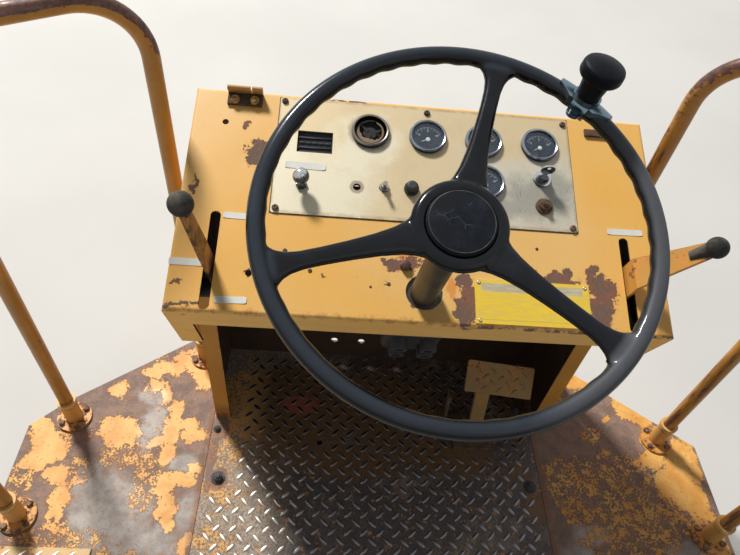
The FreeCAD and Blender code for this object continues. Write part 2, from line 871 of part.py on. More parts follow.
def wheel_cap():
    """The plain cap in the middle of the wheel."""
    radius = hub_cap / 2
    low = cap_seat - wheel_dish
    top = low + hub_cap_height
    profile = ((0, low), (radius, low), (radius, top - hub_cap_height * 0.4), (radius * 0.93, top),
               (radius * 0.5, top + hub_cap_height * 0.17), (0, top + hub_cap_height * 0.2))
    return on_wheel(turned(profile))


def steering_shaft():
    """The shaft end that turns in the column's top bearing."""
    return on_wheel(rod(shaft_rod / 2, V(0, 0, -wheel_boss_drop), V(0, 0, -1), shaft_reach))


def spinner_frame():
    """Where the spinner sits on the rim: X outwards, Y along the rim, Z up, leaning out and aside."""
    angle = math.radians(spinner_angle)
    place = V(wheel_radius * math.cos(angle), wheel_radius * math.sin(angle), 0)
    outwards = Rotation(Z_AXIS, spinner_angle).multiply(Rotation(Y_AXIS, spinner_lean))
    return Placement(place, outwards.multiply(Rotation(X_AXIS, -spinner_side_lean)))


def rim_band(outer, length):
    """A band round the rim at the spinner's place, in wheel coordinates."""
    middle = V(wheel_radius, 0, 0)
    discs = [Part.Face(Part.Wire([Part.Circle(middle, Y_AXIS, radius).toShape()]))
             for radius in (outer, wheel_rim / 2)]
    ring = discs[0].cut(discs[1])
    span = math.degrees(length / wheel_radius)
    band = ring.revolve(V(0, 0, 0), Z_AXIS, span)
    band.rotate(V(0, 0, 0), Z_AXIS, spinner_angle - span / 2)
    return band


def spinner_clamp():
    """The three-armed saddle on the rim that carries the knob, with its hoop, its ear and the ear's screw."""
    inner = wheel_rim / 2
    outer = inner + spinner_plate
    reach = spinner_saddle_length / 2
    lobe = spinner_saddle_lobe
    waist = spinner_saddle_waist / 2
    ear = spinner_ear / 2
    half = [(outer, reach), (outer - lobe, reach * 0.96), (waist - lobe, waist * 2), (-inner, ear),
            (-2 * outer, ear)]
    outline = half + [(x, -y) for x, y in reversed(half)]
    arms = placed(plate(outline, 0, 2 * outer), spinner_frame())
    saddle = rim_band(outer, spinner_saddle_length).common(arms)
    hoop = rim_band(outer, spinner_hoop)
    tab_low = -spinner_plate / 2
    tip = V(-spinner_ear_reach + ear, 0, tab_low)
    tab = box(tip.x, -inner - spinner_plate / 2, -ear, ear, tab_low, tab_low + spinner_plate)
    disc = rod(ear, tip, Z_AXIS, spinner_plate)
    screw = rod(spinner_screw / 2, tip, Z_AXIS, spinner_plate * 2)
    seat = rod(spinner_neck / 2, V(0, 0, inner), Z_AXIS, spinner_plate + spinner_seat)
    seat = placed(seat, spinner_frame()).cut(Part.makeTorus(wheel_radius, inner + spinner_plate / 2))
    carrier = placed(joined([tab, disc, screw]), spinner_frame())
    return on_wheel(joined([saddle, hoop, carrier, seat]))


def spinner_knob():
    """The mushroom-shaped knob that the driver turns the wheel with."""
    base = wheel_rim / 2 + spinner_plate + spinner_seat
    stem = spinner_stem / 2
    neck = spinner_neck / 2
    head = spinner_head / 2
    under = base + spinner_stem_height
    rise = spinner_head_height
    steps = (((stem, base + spinner_stem_height * 0.25),),
             ((neck, under),),
             ((head * 0.90, under + rise * 0.07), (head, under + rise * 0.32)),
             ((head * 0.985, under + rise * 0.62),),
             ((head * 0.94, under + rise * 0.75),),
             ((head * 0.84, under + rise * 0.82),),
             dome_step(head * 0.84, under + rise * 0.82, under + rise))
    return on_wheel(placed(turned_round((stem, base), steps), spinner_frame()))


def lever_direction(outward):
    """The direction of a lever's upper arm, leaning outwards from the console's normal."""
    lean = math.radians(outward)
    return V(math.sin(lean), 0, math.cos(lean))


def lever_bar_shape(u, width, bend, outward, reach):
    """The flat bar of a lever, bent outwards above its slot and tapered towards the knob."""
    half = lever_bar / 2
    arm = lever_direction(outward)
    side = V(arm.z, 0, -arm.x) * half
    foot = V(u, 0, -pivot_depth)
    knee = V(u, 0, bend)
    tip = knee + arm * ((reach - bend) / arm.z)
    mitre = half * math.tan(math.radians(outward) / 2)
    left = [foot - V(half, 0, 0), knee + V(-half, 0, mitre), tip - side]
    right = [tip + side, knee + V(half, 0, -mitre), foot + V(half, 0, 0)]
    points = [V(p.x, slot_middle - width / 2, p.z) for p in left + right]
    bar = Part.Face(Part.makePolygon(points + points[:1])).extrude(V(0, width, 0))
    wide = width / 2
    thin = lever_tip_width / 2
    below = -pivot_depth - half
    above = reach + 2 * lever_bar
    outline = [(slot_middle - wide, below), (slot_middle + wide, below),
               (slot_middle + wide, bend), (slot_middle + thin, above),
               (slot_middle - thin, above), (slot_middle - wide, bend)]
    return bar.common(side_plate(outline, u - reach, u + reach))


def lever(row):
    """A hand lever: flat bar welded to the hub that turns on its pin."""
    name, drawn_u, lean, width, bend, outward, reach, knob_long = row
    u = lever_u(row)
    bar = lever_bar_shape(u, width, bend, outward, reach)
    pivot = V(u, slot_middle, -pivot_depth)
    start = pivot - V(lever_hub_length / 2, 0, 0)
    whole = joined([bar, rod(lever_hub / 2, start, X_AXIS, lever_hub_length)])
    bore_start = start - V(lever_bar, 0, 0)
    bore_length = lever_hub_length + 2 * lever_bar
    whole = whole.cut(rod(lever_pin / 2 + lever_fit, bore_start, X_AXIS, bore_length))
    whole.rotate(pivot, X_AXIS, lean)
    return on_panel(whole)


def lever_knob(row):
    """The knob on the end of a lever's bar, a ball or a pear by its length."""
    name, drawn_u, lean, width, bend, outward, reach, knob_long = row
    u = lever_u(row)
    wide = knob_wide / 2
    neck = knob_neck / 2
    half = knob_long / 2
    belly = half - wide
    angle = math.radians(knob_shoulder)
    shoulder = (wide * math.cos(angle), belly - wide * math.sin(angle))
    middle = ((neck + shoulder[0]) * 0.47, (shoulder[1] - half) / 2)
    knob = turned_round((neck, -half), ((middle, shoulder), ((wide, belly), (0, half))))
    knob.rotate(V(0, 0, 0), Y_AXIS, outward)
    arm = lever_direction(outward)
    centre = V(u, slot_middle, bend) + arm * ((reach - bend) / arm.z)
    knob.translate(centre)
    knob = knob.cut(lever_bar_shape(u, width, bend, outward, reach))
    knob.rotate(V(u, slot_middle, -pivot_depth), X_AXIS, lean)
    return on_panel(knob)


def lever_bracket(u):
    """The bracket on a side skirt, with the pin that its lever turns on."""
    side = 1 if u > 0 else -1
    skirt = side * (console_half - console_sheet)
    half = lever_bracket_size / 2
    face = skirt - side * lever_bracket_plate
    pad = box(min(skirt, face), max(skirt, face), slot_middle - half, slot_middle + half,
              -pivot_depth - half * 0.6, -pivot_depth + half)
    hub_out = u + side * (lever_hub_length / 2 + lever_side_gap)
    hub_in = u - side * (lever_hub_length / 2 + lever_side_gap)
    shoulder = rod(lever_hub / 2, V(face, slot_middle, -pivot_depth), V(-side, 0, 0), abs(face - hub_out))
    pin = rod(lever_pin / 2, V(hub_out, slot_middle, -pivot_depth), V(-side, 0, 0), abs(hub_out - hub_in))
    collar = rod(lever_pin_collar / 2, V(hub_in, slot_middle, -pivot_depth), V(-side, 0, 0),
                 lever_pin_collar_height)
    return on_panel(joined([pad, shoulder, pin, collar]))


def pedal_bracket():
    """The base plate with two ears and the pin that carry the pedal."""
    axis = deck_top + pedal_axis_height
    base = box(pedal_x - pedal_base_width / 2, pedal_x + pedal_base_width / 2,
               pedal_y - pedal_base_length / 2, pedal_y + pedal_base_length / 2,
               deck_top, deck_top + pedal_base_plate)
    pieces = [base]
    inner = pedal_hub_length / 2 + pedal_side_gap
    half = pedal_ear_width / 2
    for side in (-1, 1):
        start = min(side * inner, side * (inner + pedal_ear))
        foot = box(pedal_x + start, pedal_x + start + pedal_ear, pedal_y - half, pedal_y + half,
                   deck_top + pedal_base_plate, axis)
        head = rod(half, V(pedal_x + start, pedal_y, axis), X_AXIS, pedal_ear)
        pieces += [foot, head]
    reach = inner + pedal_ear
    pieces.append(rod(pedal_pin / 2, V(pedal_x - reach, pedal_y, axis), X_AXIS, 2 * reach))
    return joined(pieces)


def brake_pedal():
    """The pedal: hub, arm and the sloping tread pad."""
    hub_start = V(-pedal_hub_length / 2, 0, 0)
    hub = rod(pedal_hub / 2, hub_start, X_AXIS, pedal_hub_length)
    arm = box(-pedal_arm_width / 2, pedal_arm_width / 2, -pedal_arm / 2, pedal_arm / 2, 0, pedal_arm_length)
    arm.rotate(V(0, 0, 0), X_AXIS, -pedal_arm_lean)
    pad = box(-pedal_pad_width / 2 + pedal_pad_shift, pedal_pad_width / 2 + pedal_pad_shift,
              -pedal_pad_length * 0.3, pedal_pad_length * 0.7, 0, pedal_pad_plate)
    low = V(-pedal_pad_width, -pedal_pad_length, -1)
    high = V(pedal_pad_width, pedal_pad_length, pedal_pad_plate)
    pad = pad.makeFillet(pedal_pad_corner, edges_along(pad, Z_AXIS, low, high))
    pad.rotate(V(0, 0, 0), Z_AXIS, -pedal_pad_turn)
    pad.rotate(V(0, 0, 0), X_AXIS, pedal_pad_slope)
    lean = math.radians(pedal_arm_lean)
    pad.translate(V(0, math.sin(lean), math.cos(lean)) * pedal_arm_length)
    bore = rod(pedal_pin / 2 + pedal_fit, hub_start - V(1, 0, 0), X_AXIS, pedal_hub_length + 2)
    pedal = joined([hub, arm, pad]).cut(bore)
    pedal.translate(V(pedal_x, pedal_y, deck_top + pedal_axis_height))
    return pedal


def pedal_latch():
    """The hooked bar beside the pedal that holds it down, standing on its own foot."""
    foot = V(latch_x, latch_y, deck_top)
    pad = box(latch_x - latch_foot / 2, latch_x + latch_foot / 2, latch_y - latch_foot / 2,
              latch_y + latch_foot / 2, deck_top, deck_top + latch_bar)
    bar = box(-latch_bar / 2, latch_bar / 2, -latch_width / 2, latch_width / 2, 0, latch_height)
    hook = box(-latch_bar / 2, latch_bar / 2, -latch_width * 1.5, latch_width / 2,
               latch_height - latch_width, latch_height)
    arm = joined([bar, hook])
    arm.rotate(V(0, 0, 0), Y_AXIS, -latch_lean)
    arm.translate(foot + V(0, 0, latch_bar / 2))
    return joined([pad, arm])


def rail_socket(x, y):
    """A flanged sleeve that a rail post stands in, flat where it passes the pedestal."""
    bore = rail_pipe / 2 + pipe_fit
    sleeve = bore + socket_sleeve_wall
    ring = sleeve + socket_ring_wall
    ring_low = socket_flange_plate + socket_sleeve_height - socket_ring_height
    start = V(x, y, deck_top)
    pieces = [rod(socket_flange / 2, start, Z_AXIS, socket_flange_plate),
              rod(sleeve, start, Z_AXIS, socket_flange_plate + socket_sleeve_height),
              rod(ring, start + V(0, 0, ring_low), Z_AXIS, socket_ring_height)]
    socket = joined(pieces).cut(rod(bore, start, Z_AXIS, socket_flange_plate + socket_sleeve_height))
    limit = console_half + pedestal_gap
    keep_clear = box(-limit, limit, deck_rear, deck_front, deck_top, deck_top + socket_flange_plate)
    return socket.cut(keep_clear)


def corner_arc(before, corner, after, radius):
    """The arc that rounds a corner of a path, with its start and its end."""
    back = (before - corner).normalize()
    ahead = (after - corner).normalize()
    half = back.getAngle(ahead) / 2
    tangent = radius / math.tan(half)
    start = corner + back * tangent
    end = corner + ahead * tangent
    middle_way = (back + ahead).normalize()
    middle = corner + middle_way * (radius / math.sin(half) - radius)
    return start, Part.Arc(start, middle, end).toShape(), end


def guard_rail(row):
    """A bent pipe from the front post over the middle post to the rear post."""
    (front_x, front_y), (middle_x, middle_y), (rear_x, rear_y) = [(x, y) for label, x, y in posts(row)]
    top = deck_top + rail_top
    corners = [V(front_x, front_y, deck_top), V(front_x, front_y, top), V(middle_x, middle_y, top),
               V(rear_x, rear_y, top), V(rear_x, rear_y, deck_top)]
    edges = []
    at = corners[0]
    for before, corner, after in zip(corners, corners[1:], corners[2:]):
        start, arc, end = corner_arc(before, corner, after, rail_bend)
        edges += [Part.LineSegment(at, start).toShape(), arc]
        at = end
    edges.append(Part.LineSegment(at, corners[-1]).toShape())
    path = Part.Wire(edges)
    outer = path.makePipeShell([circle_wire(rail_pipe / 2, corners[0])], True, False)
    inner = path.makePipeShell([circle_wire(rail_pipe / 2 - rail_wall, corners[0])], True, False)
    post = rod(rail_pipe / 2, V(middle_x, middle_y, deck_top), Z_AXIS, rail_top)
    return outer.fuse(post).cut(inner)


def circle_wire(radius, centre):
    """A level circle as a closed wire."""
    return Part.Wire([Part.Circle(centre, Z_AXIS, radius).toShape()])


def build():
    """Every piece by its node name."""
    nodes = {
        "frame_rail_left": frame_rail(-1),
        "frame_rail_right": frame_rail(1),
        "frame_cross_members": cross_members(),
        "outriggers_left": outriggers(-1),
        "outriggers_right": outriggers(1),
        "deck_centre": deck_centre(),
        "deck_left": deck_side(-1),
        "deck_right": deck_side(1),
        "rear_tread": rear_tread(),
        "pedestal_left": pedestal_side(-1),
        "pedestal_right": pedestal_side(1),
        "pedestal_back": pedestal_back(),
        "console_shell": console_shell(),
        "instrument_plate": instrument_plate(),
        "gauge_dials": gauge_faces(),
        "gauge_lenses": gauge_lenses(),
        "hour_meter": hour_meter(),
        "ball_switch": ball_switch(),
        "toggle_switch": toggle_switch(),
        "push_button": push_button(),
        "key_switch": key_switch(),
        "seized_knob": seized_knob(),
        "data_plate": data_plate(),
        "hinge_left": hinge_left(),
        "hinge_right": hinge_right(),
        "steering_column": steering_column(),
        "steering_unit": steering_unit(),
        "steering_wheel": steering_wheel(),
        "steering_shaft": steering_shaft(),
        "wheel_cap": wheel_cap(),
        "spinner_clamp": spinner_clamp(),
        "spinner_knob": spinner_knob(),
        "pedal_bracket": pedal_bracket(),
        "pedal_latch": pedal_latch(),
        "brake_pedal": brake_pedal(),
    }
    for name, u, v, recess in gauge_spots():
        nodes[name] = gauge_case(u, v, recess)
    for row in levers:
        nodes[row[0] + "_lever"] = lever(row)
        nodes[row[0] + "_knob"] = lever_knob(row)
        nodes[row[0] + "_bracket"] = lever_bracket(lever_u(row))
    for row in rail_posts:
        label = "left" if row[0] < 0 else "right"
        nodes["guard_rail_" + label] = guard_rail(row)
        for place, x, y in posts(row):
            nodes["rail_socket_" + label + "_" + place] = rail_socket(x, y)
    return nodes


def export(nodes):
    """One file for each piece."""
    os.makedirs("parts", exist_ok=True)
    for name, shape in nodes.items():
        shape.exportStep("parts/" + name + ".step")


export(build())
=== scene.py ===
import json
import math
import random

import bmesh
import bpy
from mathutils import Matrix, Vector, noise


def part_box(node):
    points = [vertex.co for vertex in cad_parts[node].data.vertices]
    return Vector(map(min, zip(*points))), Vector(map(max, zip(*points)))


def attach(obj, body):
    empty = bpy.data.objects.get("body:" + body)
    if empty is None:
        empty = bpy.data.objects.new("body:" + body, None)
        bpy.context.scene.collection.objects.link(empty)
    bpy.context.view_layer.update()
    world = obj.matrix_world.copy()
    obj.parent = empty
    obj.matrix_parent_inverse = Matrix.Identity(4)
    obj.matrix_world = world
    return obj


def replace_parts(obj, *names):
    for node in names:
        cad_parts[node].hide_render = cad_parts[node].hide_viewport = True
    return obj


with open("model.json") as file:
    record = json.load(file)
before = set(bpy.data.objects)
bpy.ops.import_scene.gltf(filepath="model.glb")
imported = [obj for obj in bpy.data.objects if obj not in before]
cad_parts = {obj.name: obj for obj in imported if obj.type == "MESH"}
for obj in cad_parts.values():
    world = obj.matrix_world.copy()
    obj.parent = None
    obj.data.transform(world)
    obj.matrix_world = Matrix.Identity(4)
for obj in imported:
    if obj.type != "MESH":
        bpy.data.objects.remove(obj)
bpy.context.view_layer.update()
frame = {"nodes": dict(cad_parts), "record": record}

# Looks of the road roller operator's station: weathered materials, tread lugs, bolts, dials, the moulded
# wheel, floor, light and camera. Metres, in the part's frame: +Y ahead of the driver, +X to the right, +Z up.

random.seed(7)


def shift(x, y=0.0, z=0.0):
    """A move along the axes."""
    return Matrix.Translation((x, y, z))


def spin(angle, axis="Z"):
    """A turn about an axis."""
    return Matrix.Rotation(angle, 4, axis)


joints = {joint["name"]: joint for joint in frame["record"]["behaviour"]["joints"]}
DECK_TOP = 0.086
SLOPE = math.radians(19.8)
PANEL_ORIGIN = Vector((0.0, 0.0, 0.6606))
PANEL = shift(*PANEL_ORIGIN) @ spin(SLOPE, "X")
PANEL_LOCAL = (PANEL_ORIGIN, (SLOPE, 0.0, 0.0))
PLATE_SHEET = 0.002
WHEEL_TILT = math.radians(21.5)
WHEEL_CENTRE = Vector(joints["steering_turn"]["pos_m"])
WHEEL = shift(*WHEEL_CENTRE) @ spin(WHEEL_TILT, "X")
WHEEL_LOCAL = (WHEEL_CENTRE, (WHEEL_TILT, 0.0, 0.0))
EVERYWHERE = 1000.0
# Middles that the painted shade on inner faces is reckoned from
CONSOLE_MIDDLE = PANEL @ Vector((0.0, 0.19, -0.09))
FOOT_SPACE = Vector((0.0, 0.20, 0.30))


# --- Colours

def tone(red, green, blue):
    """A colour on the usual 0 to 255 scale, as the shader wants it."""
    out = []
    for value in (red, green, blue):
        value /= 255.0
        out.append(value / 12.92 if value <= 0.04045 else ((value + 0.055) / 1.055) ** 2.4)
    return (*out, 1.0)


YELLOW = (241, 184, 88)
YELLOW_PALE = (239, 193, 118)
YELLOW_DEEP = (206, 146, 58)
PIPE_YELLOW = (180, 128, 54)
DIRT = (150, 122, 92)
STAIN_ORANGE = (226, 140, 56)
BARE_STEEL = (154, 147, 140)
STEEL_DARK = (130, 120, 114)

# Rust of two ages: main tone, second tone, light specks, dark pits, fresh spots
RUST_RED = ((134, 90, 72), (112, 90, 78), (152, 126, 106), (80, 54, 44), (178, 106, 58))
RUST_LILAC = ((150, 122, 106), (124, 102, 92), (170, 150, 138), (88, 70, 62), (178, 112, 68))


# --- Node graphs

materials = {}
# The mix node's sockets for colours
COLOUR_A, COLOUR_B, MIXED_COLOUR = 6, 7, 2

class Value:
    """A number, place or colour in a material; arithmetic on it adds a node."""

    def __init__(self, look, socket):
        self.look = look
        self.socket = socket

    def step(self, operation, *inputs, output=0):
        """One step of arithmetic, on numbers or vectors as this value is."""
        kind = "Math" if self.socket.type == "VALUE" else "VectorMath"
        return self.look.add(kind, output, dict(enumerate(inputs)), operation=operation)

    def __add__(self, other):
        return self.step("ADD", self, other)

    def __sub__(self, other):
        return self.step("SUBTRACT", self, other)

    def __rsub__(self, other):
        return self.step("SUBTRACT", other, self)

    def __mul__(self, other):
        return self.step("MULTIPLY", self, other)

    def __abs__(self):
        return self.step("ABSOLUTE", self)

    def sine(self):
        """The sine of a number."""
        return self.step("SINE", self)

    def least(self, other):
        """The smaller of two numbers."""
        return self.step("MINIMUM", self, other)

    def most(self, *others):
        """The largest of several numbers."""
        result = self
        for other in others:
            result = result.step("MAXIMUM", result, other)
        return result

    def dot(self, other):
        """The dot product of two vectors."""
        return self.step("DOT_PRODUCT", self, other, output="Value")

    def length(self):
        """A vector's length."""
        return self.step("LENGTH", self, output="Value")

    def axis(self, name):
        """One coordinate."""
        return self.look.add("SeparateXYZ", name, {"Vector": self})

    x = property(lambda self: self.axis("X"))
    y = property(lambda self: self.axis("Y"))
    z = property(lambda self: self.axis("Z"))

    def stretched(self, scale):
        """A place scaled along each axis."""
        return self.look.add("Mapping", "Vector", {"Vector": self, "Scale": scale})

    def cloud(self, output, size, detail, rough, seed):
        """One output of a noise with blobs about this size."""
        inputs = {"Vector": self, "W": seed, "Scale": 1.0 / size, "Detail": detail, "Roughness": rough}
        return self.look.add("TexNoise", output, inputs, noise_dimensions="4D")

    def noise(self, size, detail, rough, seed=0.0):
        """Cloudy noise from 0 to 1."""
        return self.cloud("Fac", size, detail, rough, seed)

    def swing(self, size, reach, detail, rough, seed):
        """Noise either side of zero, nearly all of it within this reach."""
        return (self.noise(size, detail, rough, seed) - 0.5) * (4.0 * reach)

    def warped(self, size, reach, seed):
        """A place pushed about by noise, nearly all of it within this reach."""
        push = self.cloud("Color", size, 7.0, 0.62, seed) - (0.5, 0.5, 0.5)
        return self + push * (4.0 * reach, 4.0 * reach, 0.0)

    def cells(self, size, feature):
        """Distance to the nearest point or border of a cell pattern."""
        return self.look.add("TexVoronoi", "Distance", {"Vector": self, "Scale": 1.0 / size}, feature=feature)

    def fade(self, low, high):
        """0 below the low value, 1 above the high one, smooth between them; low may be the larger."""
        ends = (low, high, 0.0, 1.0) if low < high else (high, low, 1.0, 0.0)
        inputs = dict(zip(("Value", "From Min", "From Max", "To Min", "To Max"), (self, *ends)))
        return self.look.add("MapRange", "Result", inputs, interpolation_type="SMOOTHSTEP")

    def between(self, low, high):
        """A number from low to high by a share."""
        return self.look.add("MapRange", "Result", {"Value": self, "To Min": low, "To Max": high})

    def mix(self, below, above):
        """Two colours mixed by a share; a plain colour is on the 0 to 255 scale."""
        below, above = (tone(*colour) if isinstance(colour, tuple) and len(colour) == 3 else colour
                        for colour in (below, above))
        return self.look.add("Mix", MIXED_COLOUR, {0: self, COLOUR_A: below, COLOUR_B: above}, data_type="RGBA")

    def spot(self, centre, reach):
        """1 at a place, 0 at its reach along each axis, below 0 beyond."""
        away = self - centre
        return 1.0 - away.step("DIVIDE", away, reach).length()

    def spots(self, table):
        """The strongest of several places, each (x, y, reach x, reach y) in millimetres, at any height."""
        places = [self.spot((x / 1000, y / 1000, 0.0), (wide / 1000, deep / 1000, EVERYWHERE))
                  for x, y, wide, deep in table]
        return places[0].most(*places[1:])

    def relief(self, depth, before=None):
        """A bump of this depth in metres, over another."""
        inputs = {"Height": self, "Distance": depth}
        if before is not None:
            inputs["Normal"] = before
        return self.look.add("Bump", "Normal", inputs)


class Look:
    """A material being put together."""

    def __init__(self, name):
        self.material = materials[name] = bpy.data.materials.new(name)
        self.material.use_nodes = True
        self.tree = self.material.node_tree
        self.shader = self.tree.nodes["Principled BSDF"]
        self.part = self.add("TexCoord", "Object")
        self.facing = self.add("TexCoord", "Normal")

    def feed(self, node, inputs):
        """Links a node's inputs, or sets constants on the sockets themselves."""
        for key, value in inputs.items():
            if isinstance(value, Value):
                self.tree.links.new(value.socket, node.inputs[key])
            else:
                node.inputs[key].default_value = value

    def add(self, kind, output, inputs=None, **settings):
        """A new node, as the value of one of its outputs."""
        node = self.tree.nodes.new("ShaderNode" + kind)
        for key, value in settings.items():
            setattr(node, key, value)
        self.feed(node, inputs or {})
        return Value(self, node.outputs[output])

    def local(self, origin, turn):
        """Coordinates in a frame moved to an origin and turned."""
        inputs = {"Vector": self.part, "Location": origin, "Rotation": turn}
        return self.add("Mapping", "Vector", inputs, vector_type="TEXTURE")

    def towards(self, direction):
        """How far the surface faces a direction, from -1 to 1."""
        return self.facing.dot(Vector(direction).normalized())

    def edges(self, radius):
        """1 on edges sharper than this radius, 0 on flat faces."""
        bevel = self.add("Bevel", "Normal", {"Radius": radius}, samples=4)
        return bevel.dot(self.add("NewGeometry", "Normal")).fade(0.995, 0.90)

    def finish(self, colour, rough, metal=0.0, normal=None, specular=0.5, coat=0.0, coat_rough=0.1):
        """Sets the shader and returns the material."""
        inputs = {"Base Color": colour, "Roughness": rough, "Metallic": metal, "Specular IOR Level": specular,
                  "Coat Weight": coat, "Coat Roughness": coat_rough}
        if normal is not None:
            inputs["Normal"] = normal
        self.feed(self.shader, inputs)
        return self.material


def begin(name, local=None):
    """A new look, and the coordinates that it is painted in."""
    look = Look(name)
    return look, look.part if local is None else look.local(*local)


# --- Materials

def rust_colour(at, tones, seed=0.0):
    """Rust in clouds of two tones, with light specks, dark pits and a few fresh spots."""
    main, second, light, dark, fresh = tones
    fine = at.noise(0.005, 6, 0.68, seed + 2)
    colour = at.noise(0.03, 6, 0.62, seed + 1).fade(0.4, 0.6).mix(main, second)
    colour = (fine.fade(0.54, 0.68) * 0.75).mix(colour, light)
    colour = (fine.fade(0.44, 0.34) * 0.75).mix(colour, dark)
    return at.noise(0.012, 4, 0.6, seed + 3).fade(0.64, 0.74).mix(colour, fresh)


def coat_colour(at, light, deep, seed):
    """Sun-faded paint: broad fading, fine speckle and faint streaks of dirt."""
    colour = at.noise(0.25, 3, 0.5, seed).fade(0.36, 0.66).mix(light, deep)
    speck = at.noise(0.003, 3, 0.6, seed + 5)
    colour = (speck.fade(0.54, 0.76) * 0.22).mix(colour, YELLOW_DEEP)
    grime = at.stretched((1.0, 0.3, 1.0)).noise(0.025, 6, 0.7, seed + 51)
    return (grime.fade(0.56, 0.86) * 0.25).mix(colour, DIRT)


def over_rust(at, paint, bare, rust, seed, gloss):
    """Finishes paint that stands a little proud of the rust where it is bare, on gently dented sheet."""
    grain = at.noise(0.003, 4, 0.6, seed + 61)
    rough = bare.between(gloss, 0.82) + grain * 0.12
    colour = paint if rust is None else bare.mix(paint, rust)
    height = grain * 0.25 - bare
    dents = at.noise(0.09, 2, 0.4, seed + 71).relief(0.0012)
    return at.look.finish(colour, rough, 0.0, height.relief(0.0004, dents))


def chipped(at, level, cluster_size, seed):
    """Small chips that come in clusters."""
    cluster = at.noise(cluster_size, 4, 0.6, seed + 41).fade(0.46, 0.62)
    return at.noise(0.006, 4, 0.6, seed + 43).fade(level, level + 0.02) * cluster


def weathered_paint(name, light, deep, reach, chips=0.7, edge=0.5, gloss=0.42, rust=RUST_RED, seed=0.0):
    """Yellow paint over steel: faded, chipped in clusters and worn on its edges; bare in ragged clouds by reach."""
    look, at = begin(name)
    rim = look.edges(0.004) * at.noise(0.016, 7, 0.7, seed + 31).fade(0.6 - edge * 0.2, 0.66)
    field = at.noise(0.035, 10, 0.7, seed + 9)
    bare = chipped(at, chips, 0.12, seed).most(rim, field.fade(reach, reach + 0.015))
    stain = field.fade(reach - 0.1, reach) * 0.45
    paint = stain.mix(coat_colour(at, light, deep, seed), STAIN_ORANGE)
    return over_rust(at, paint, bare, rust_colour(at, rust, seed), seed, gloss)


def console_paint():
    """The console's paint: clean and warm, ragged rust patches, specks, a dirty near lip, painted shade inside and a
    painted shadow line round the plate.
    """
    look, at = begin("console_paint", PANEL_LOCAL)
    across, along, height = at.x, at.y, at.z
    swing = at.swing(0.01, 0.3, 10, 0.7, 9.0)
    fine = at.swing(0.0035, 0.26, 5, 0.7, 12.0)
    field = at.warped(0.022, 0.012, 2.0).spots(CONSOLE_BALD) + swing + fine
    top = height.fade(-0.009, -0.004)
    near_top = height.fade(-0.024, -0.012)
    lip_wear = at.swing(0.02, 0.9, 8, 0.7, 21.0) + across.fade(0.04, 0.09) * 0.6
    lip = along.fade(0.0055, 0.001) * lip_wear.fade(0.5, 0.65) * top
    rim = look.edges(0.0035) * at.noise(0.014, 7, 0.7, 31.0).fade(0.59, 0.64)
    bald = field.fade(-0.02, 0.03) * near_top
    bare = bald.most(chipped(at, 0.735, 0.12, 3.0), lip, rim)
    paint = coat_colour(at, YELLOW, YELLOW_PALE, 3.0)
    halo = field.fade(-0.4, 0.0) * swing.fade(-0.2, 0.2) * near_top * 0.3
    paint = halo.mix(paint, STAIN_ORANGE)
    smear = at.warped(0.02, 0.006, 5.0).spots(CONSOLE_SMEARS) + swing
    paint = (smear.fade(-0.1, 0.6) * 0.8).mix(paint, STAIN_ORANGE)
    lip_dirt = along.fade(0.014, 0.002) * at.noise(0.012, 7, 0.7, 75.0).fade(0.46, 0.62) * top
    paint = (lip_dirt * 0.7).mix(paint, (176, 108, 50))
    skirt = along.fade(0.003, -0.003) * height.fade(-0.003, -0.02)
    dirt = at.stretched((0.25, 1.0, 1.0)).noise(0.02, 6, 0.7, 71.0)
    paint = (skirt * dirt.fade(0.42, 0.7) * 0.35).mix(paint, (170, 118, 50))
    colour = bare.mix(paint, rust_colour(at, RUST_RED, 3.0))
    # Painted shadow: a thin dark line on the console round the instrument plate, thinner along its left edge.
    plate_edge_shadow = (across - 0.2365).most((across + 0.2343) * -3.0, abs(along - 0.264) - 0.1035)
    colour = (plate_edge_shadow.fade(0.0026, 0.001) * top).mix(colour, (52, 40, 28))
    # Painted shade: faces turned towards the console's middle, its inside, go nearly black.
    outward = look.facing.dot(look.part - CONSOLE_MIDDLE)
    inside = outward.fade(0.0, -0.01) * height.fade(-0.0005, -0.0015)
    colour = inside.mix(colour, (40, 30, 20))
    return over_rust(at, colour, bare, None, 3.0, 0.42)


def pedestal_paint():
    """The console's legs: clean paint outside, nearly black with painted shade on the faces round the foot space."""
    look, at = begin("pedestal_paint")
    swing = at.swing(0.03, 0.3, 8, 0.68, 81.0)
    inward = look.facing.dot(at - FOOT_SPACE)
    inside = (inward + swing * 0.02).fade(-0.03, -0.06)
    paint = coat_colour(at, (226, 168, 78), (196, 136, 54), 80.0)
    low = at.z.fade(0.16, 0.09) * swing.fade(-0.15, 0.05)
    paint = (low * 0.8).mix(paint, (120, 76, 50))
    # Painted shade: near-black browns for the faces turned to the foot space.
    grime = swing.fade(-0.2, 0.2).mix((46, 33, 22), (66, 45, 28))
    bare = chipped(at, 0.68, 0.12, 80.0).most(look.edges(0.004) * swing.fade(0.02, 0.1))
    colour = (bare * (1.0 - inside)).mix(inside.mix(paint, grime), rust_colour(at, RUST_RED, 80.0))
    return over_rust(at, colour, bare, None, 80.0, 0.45)


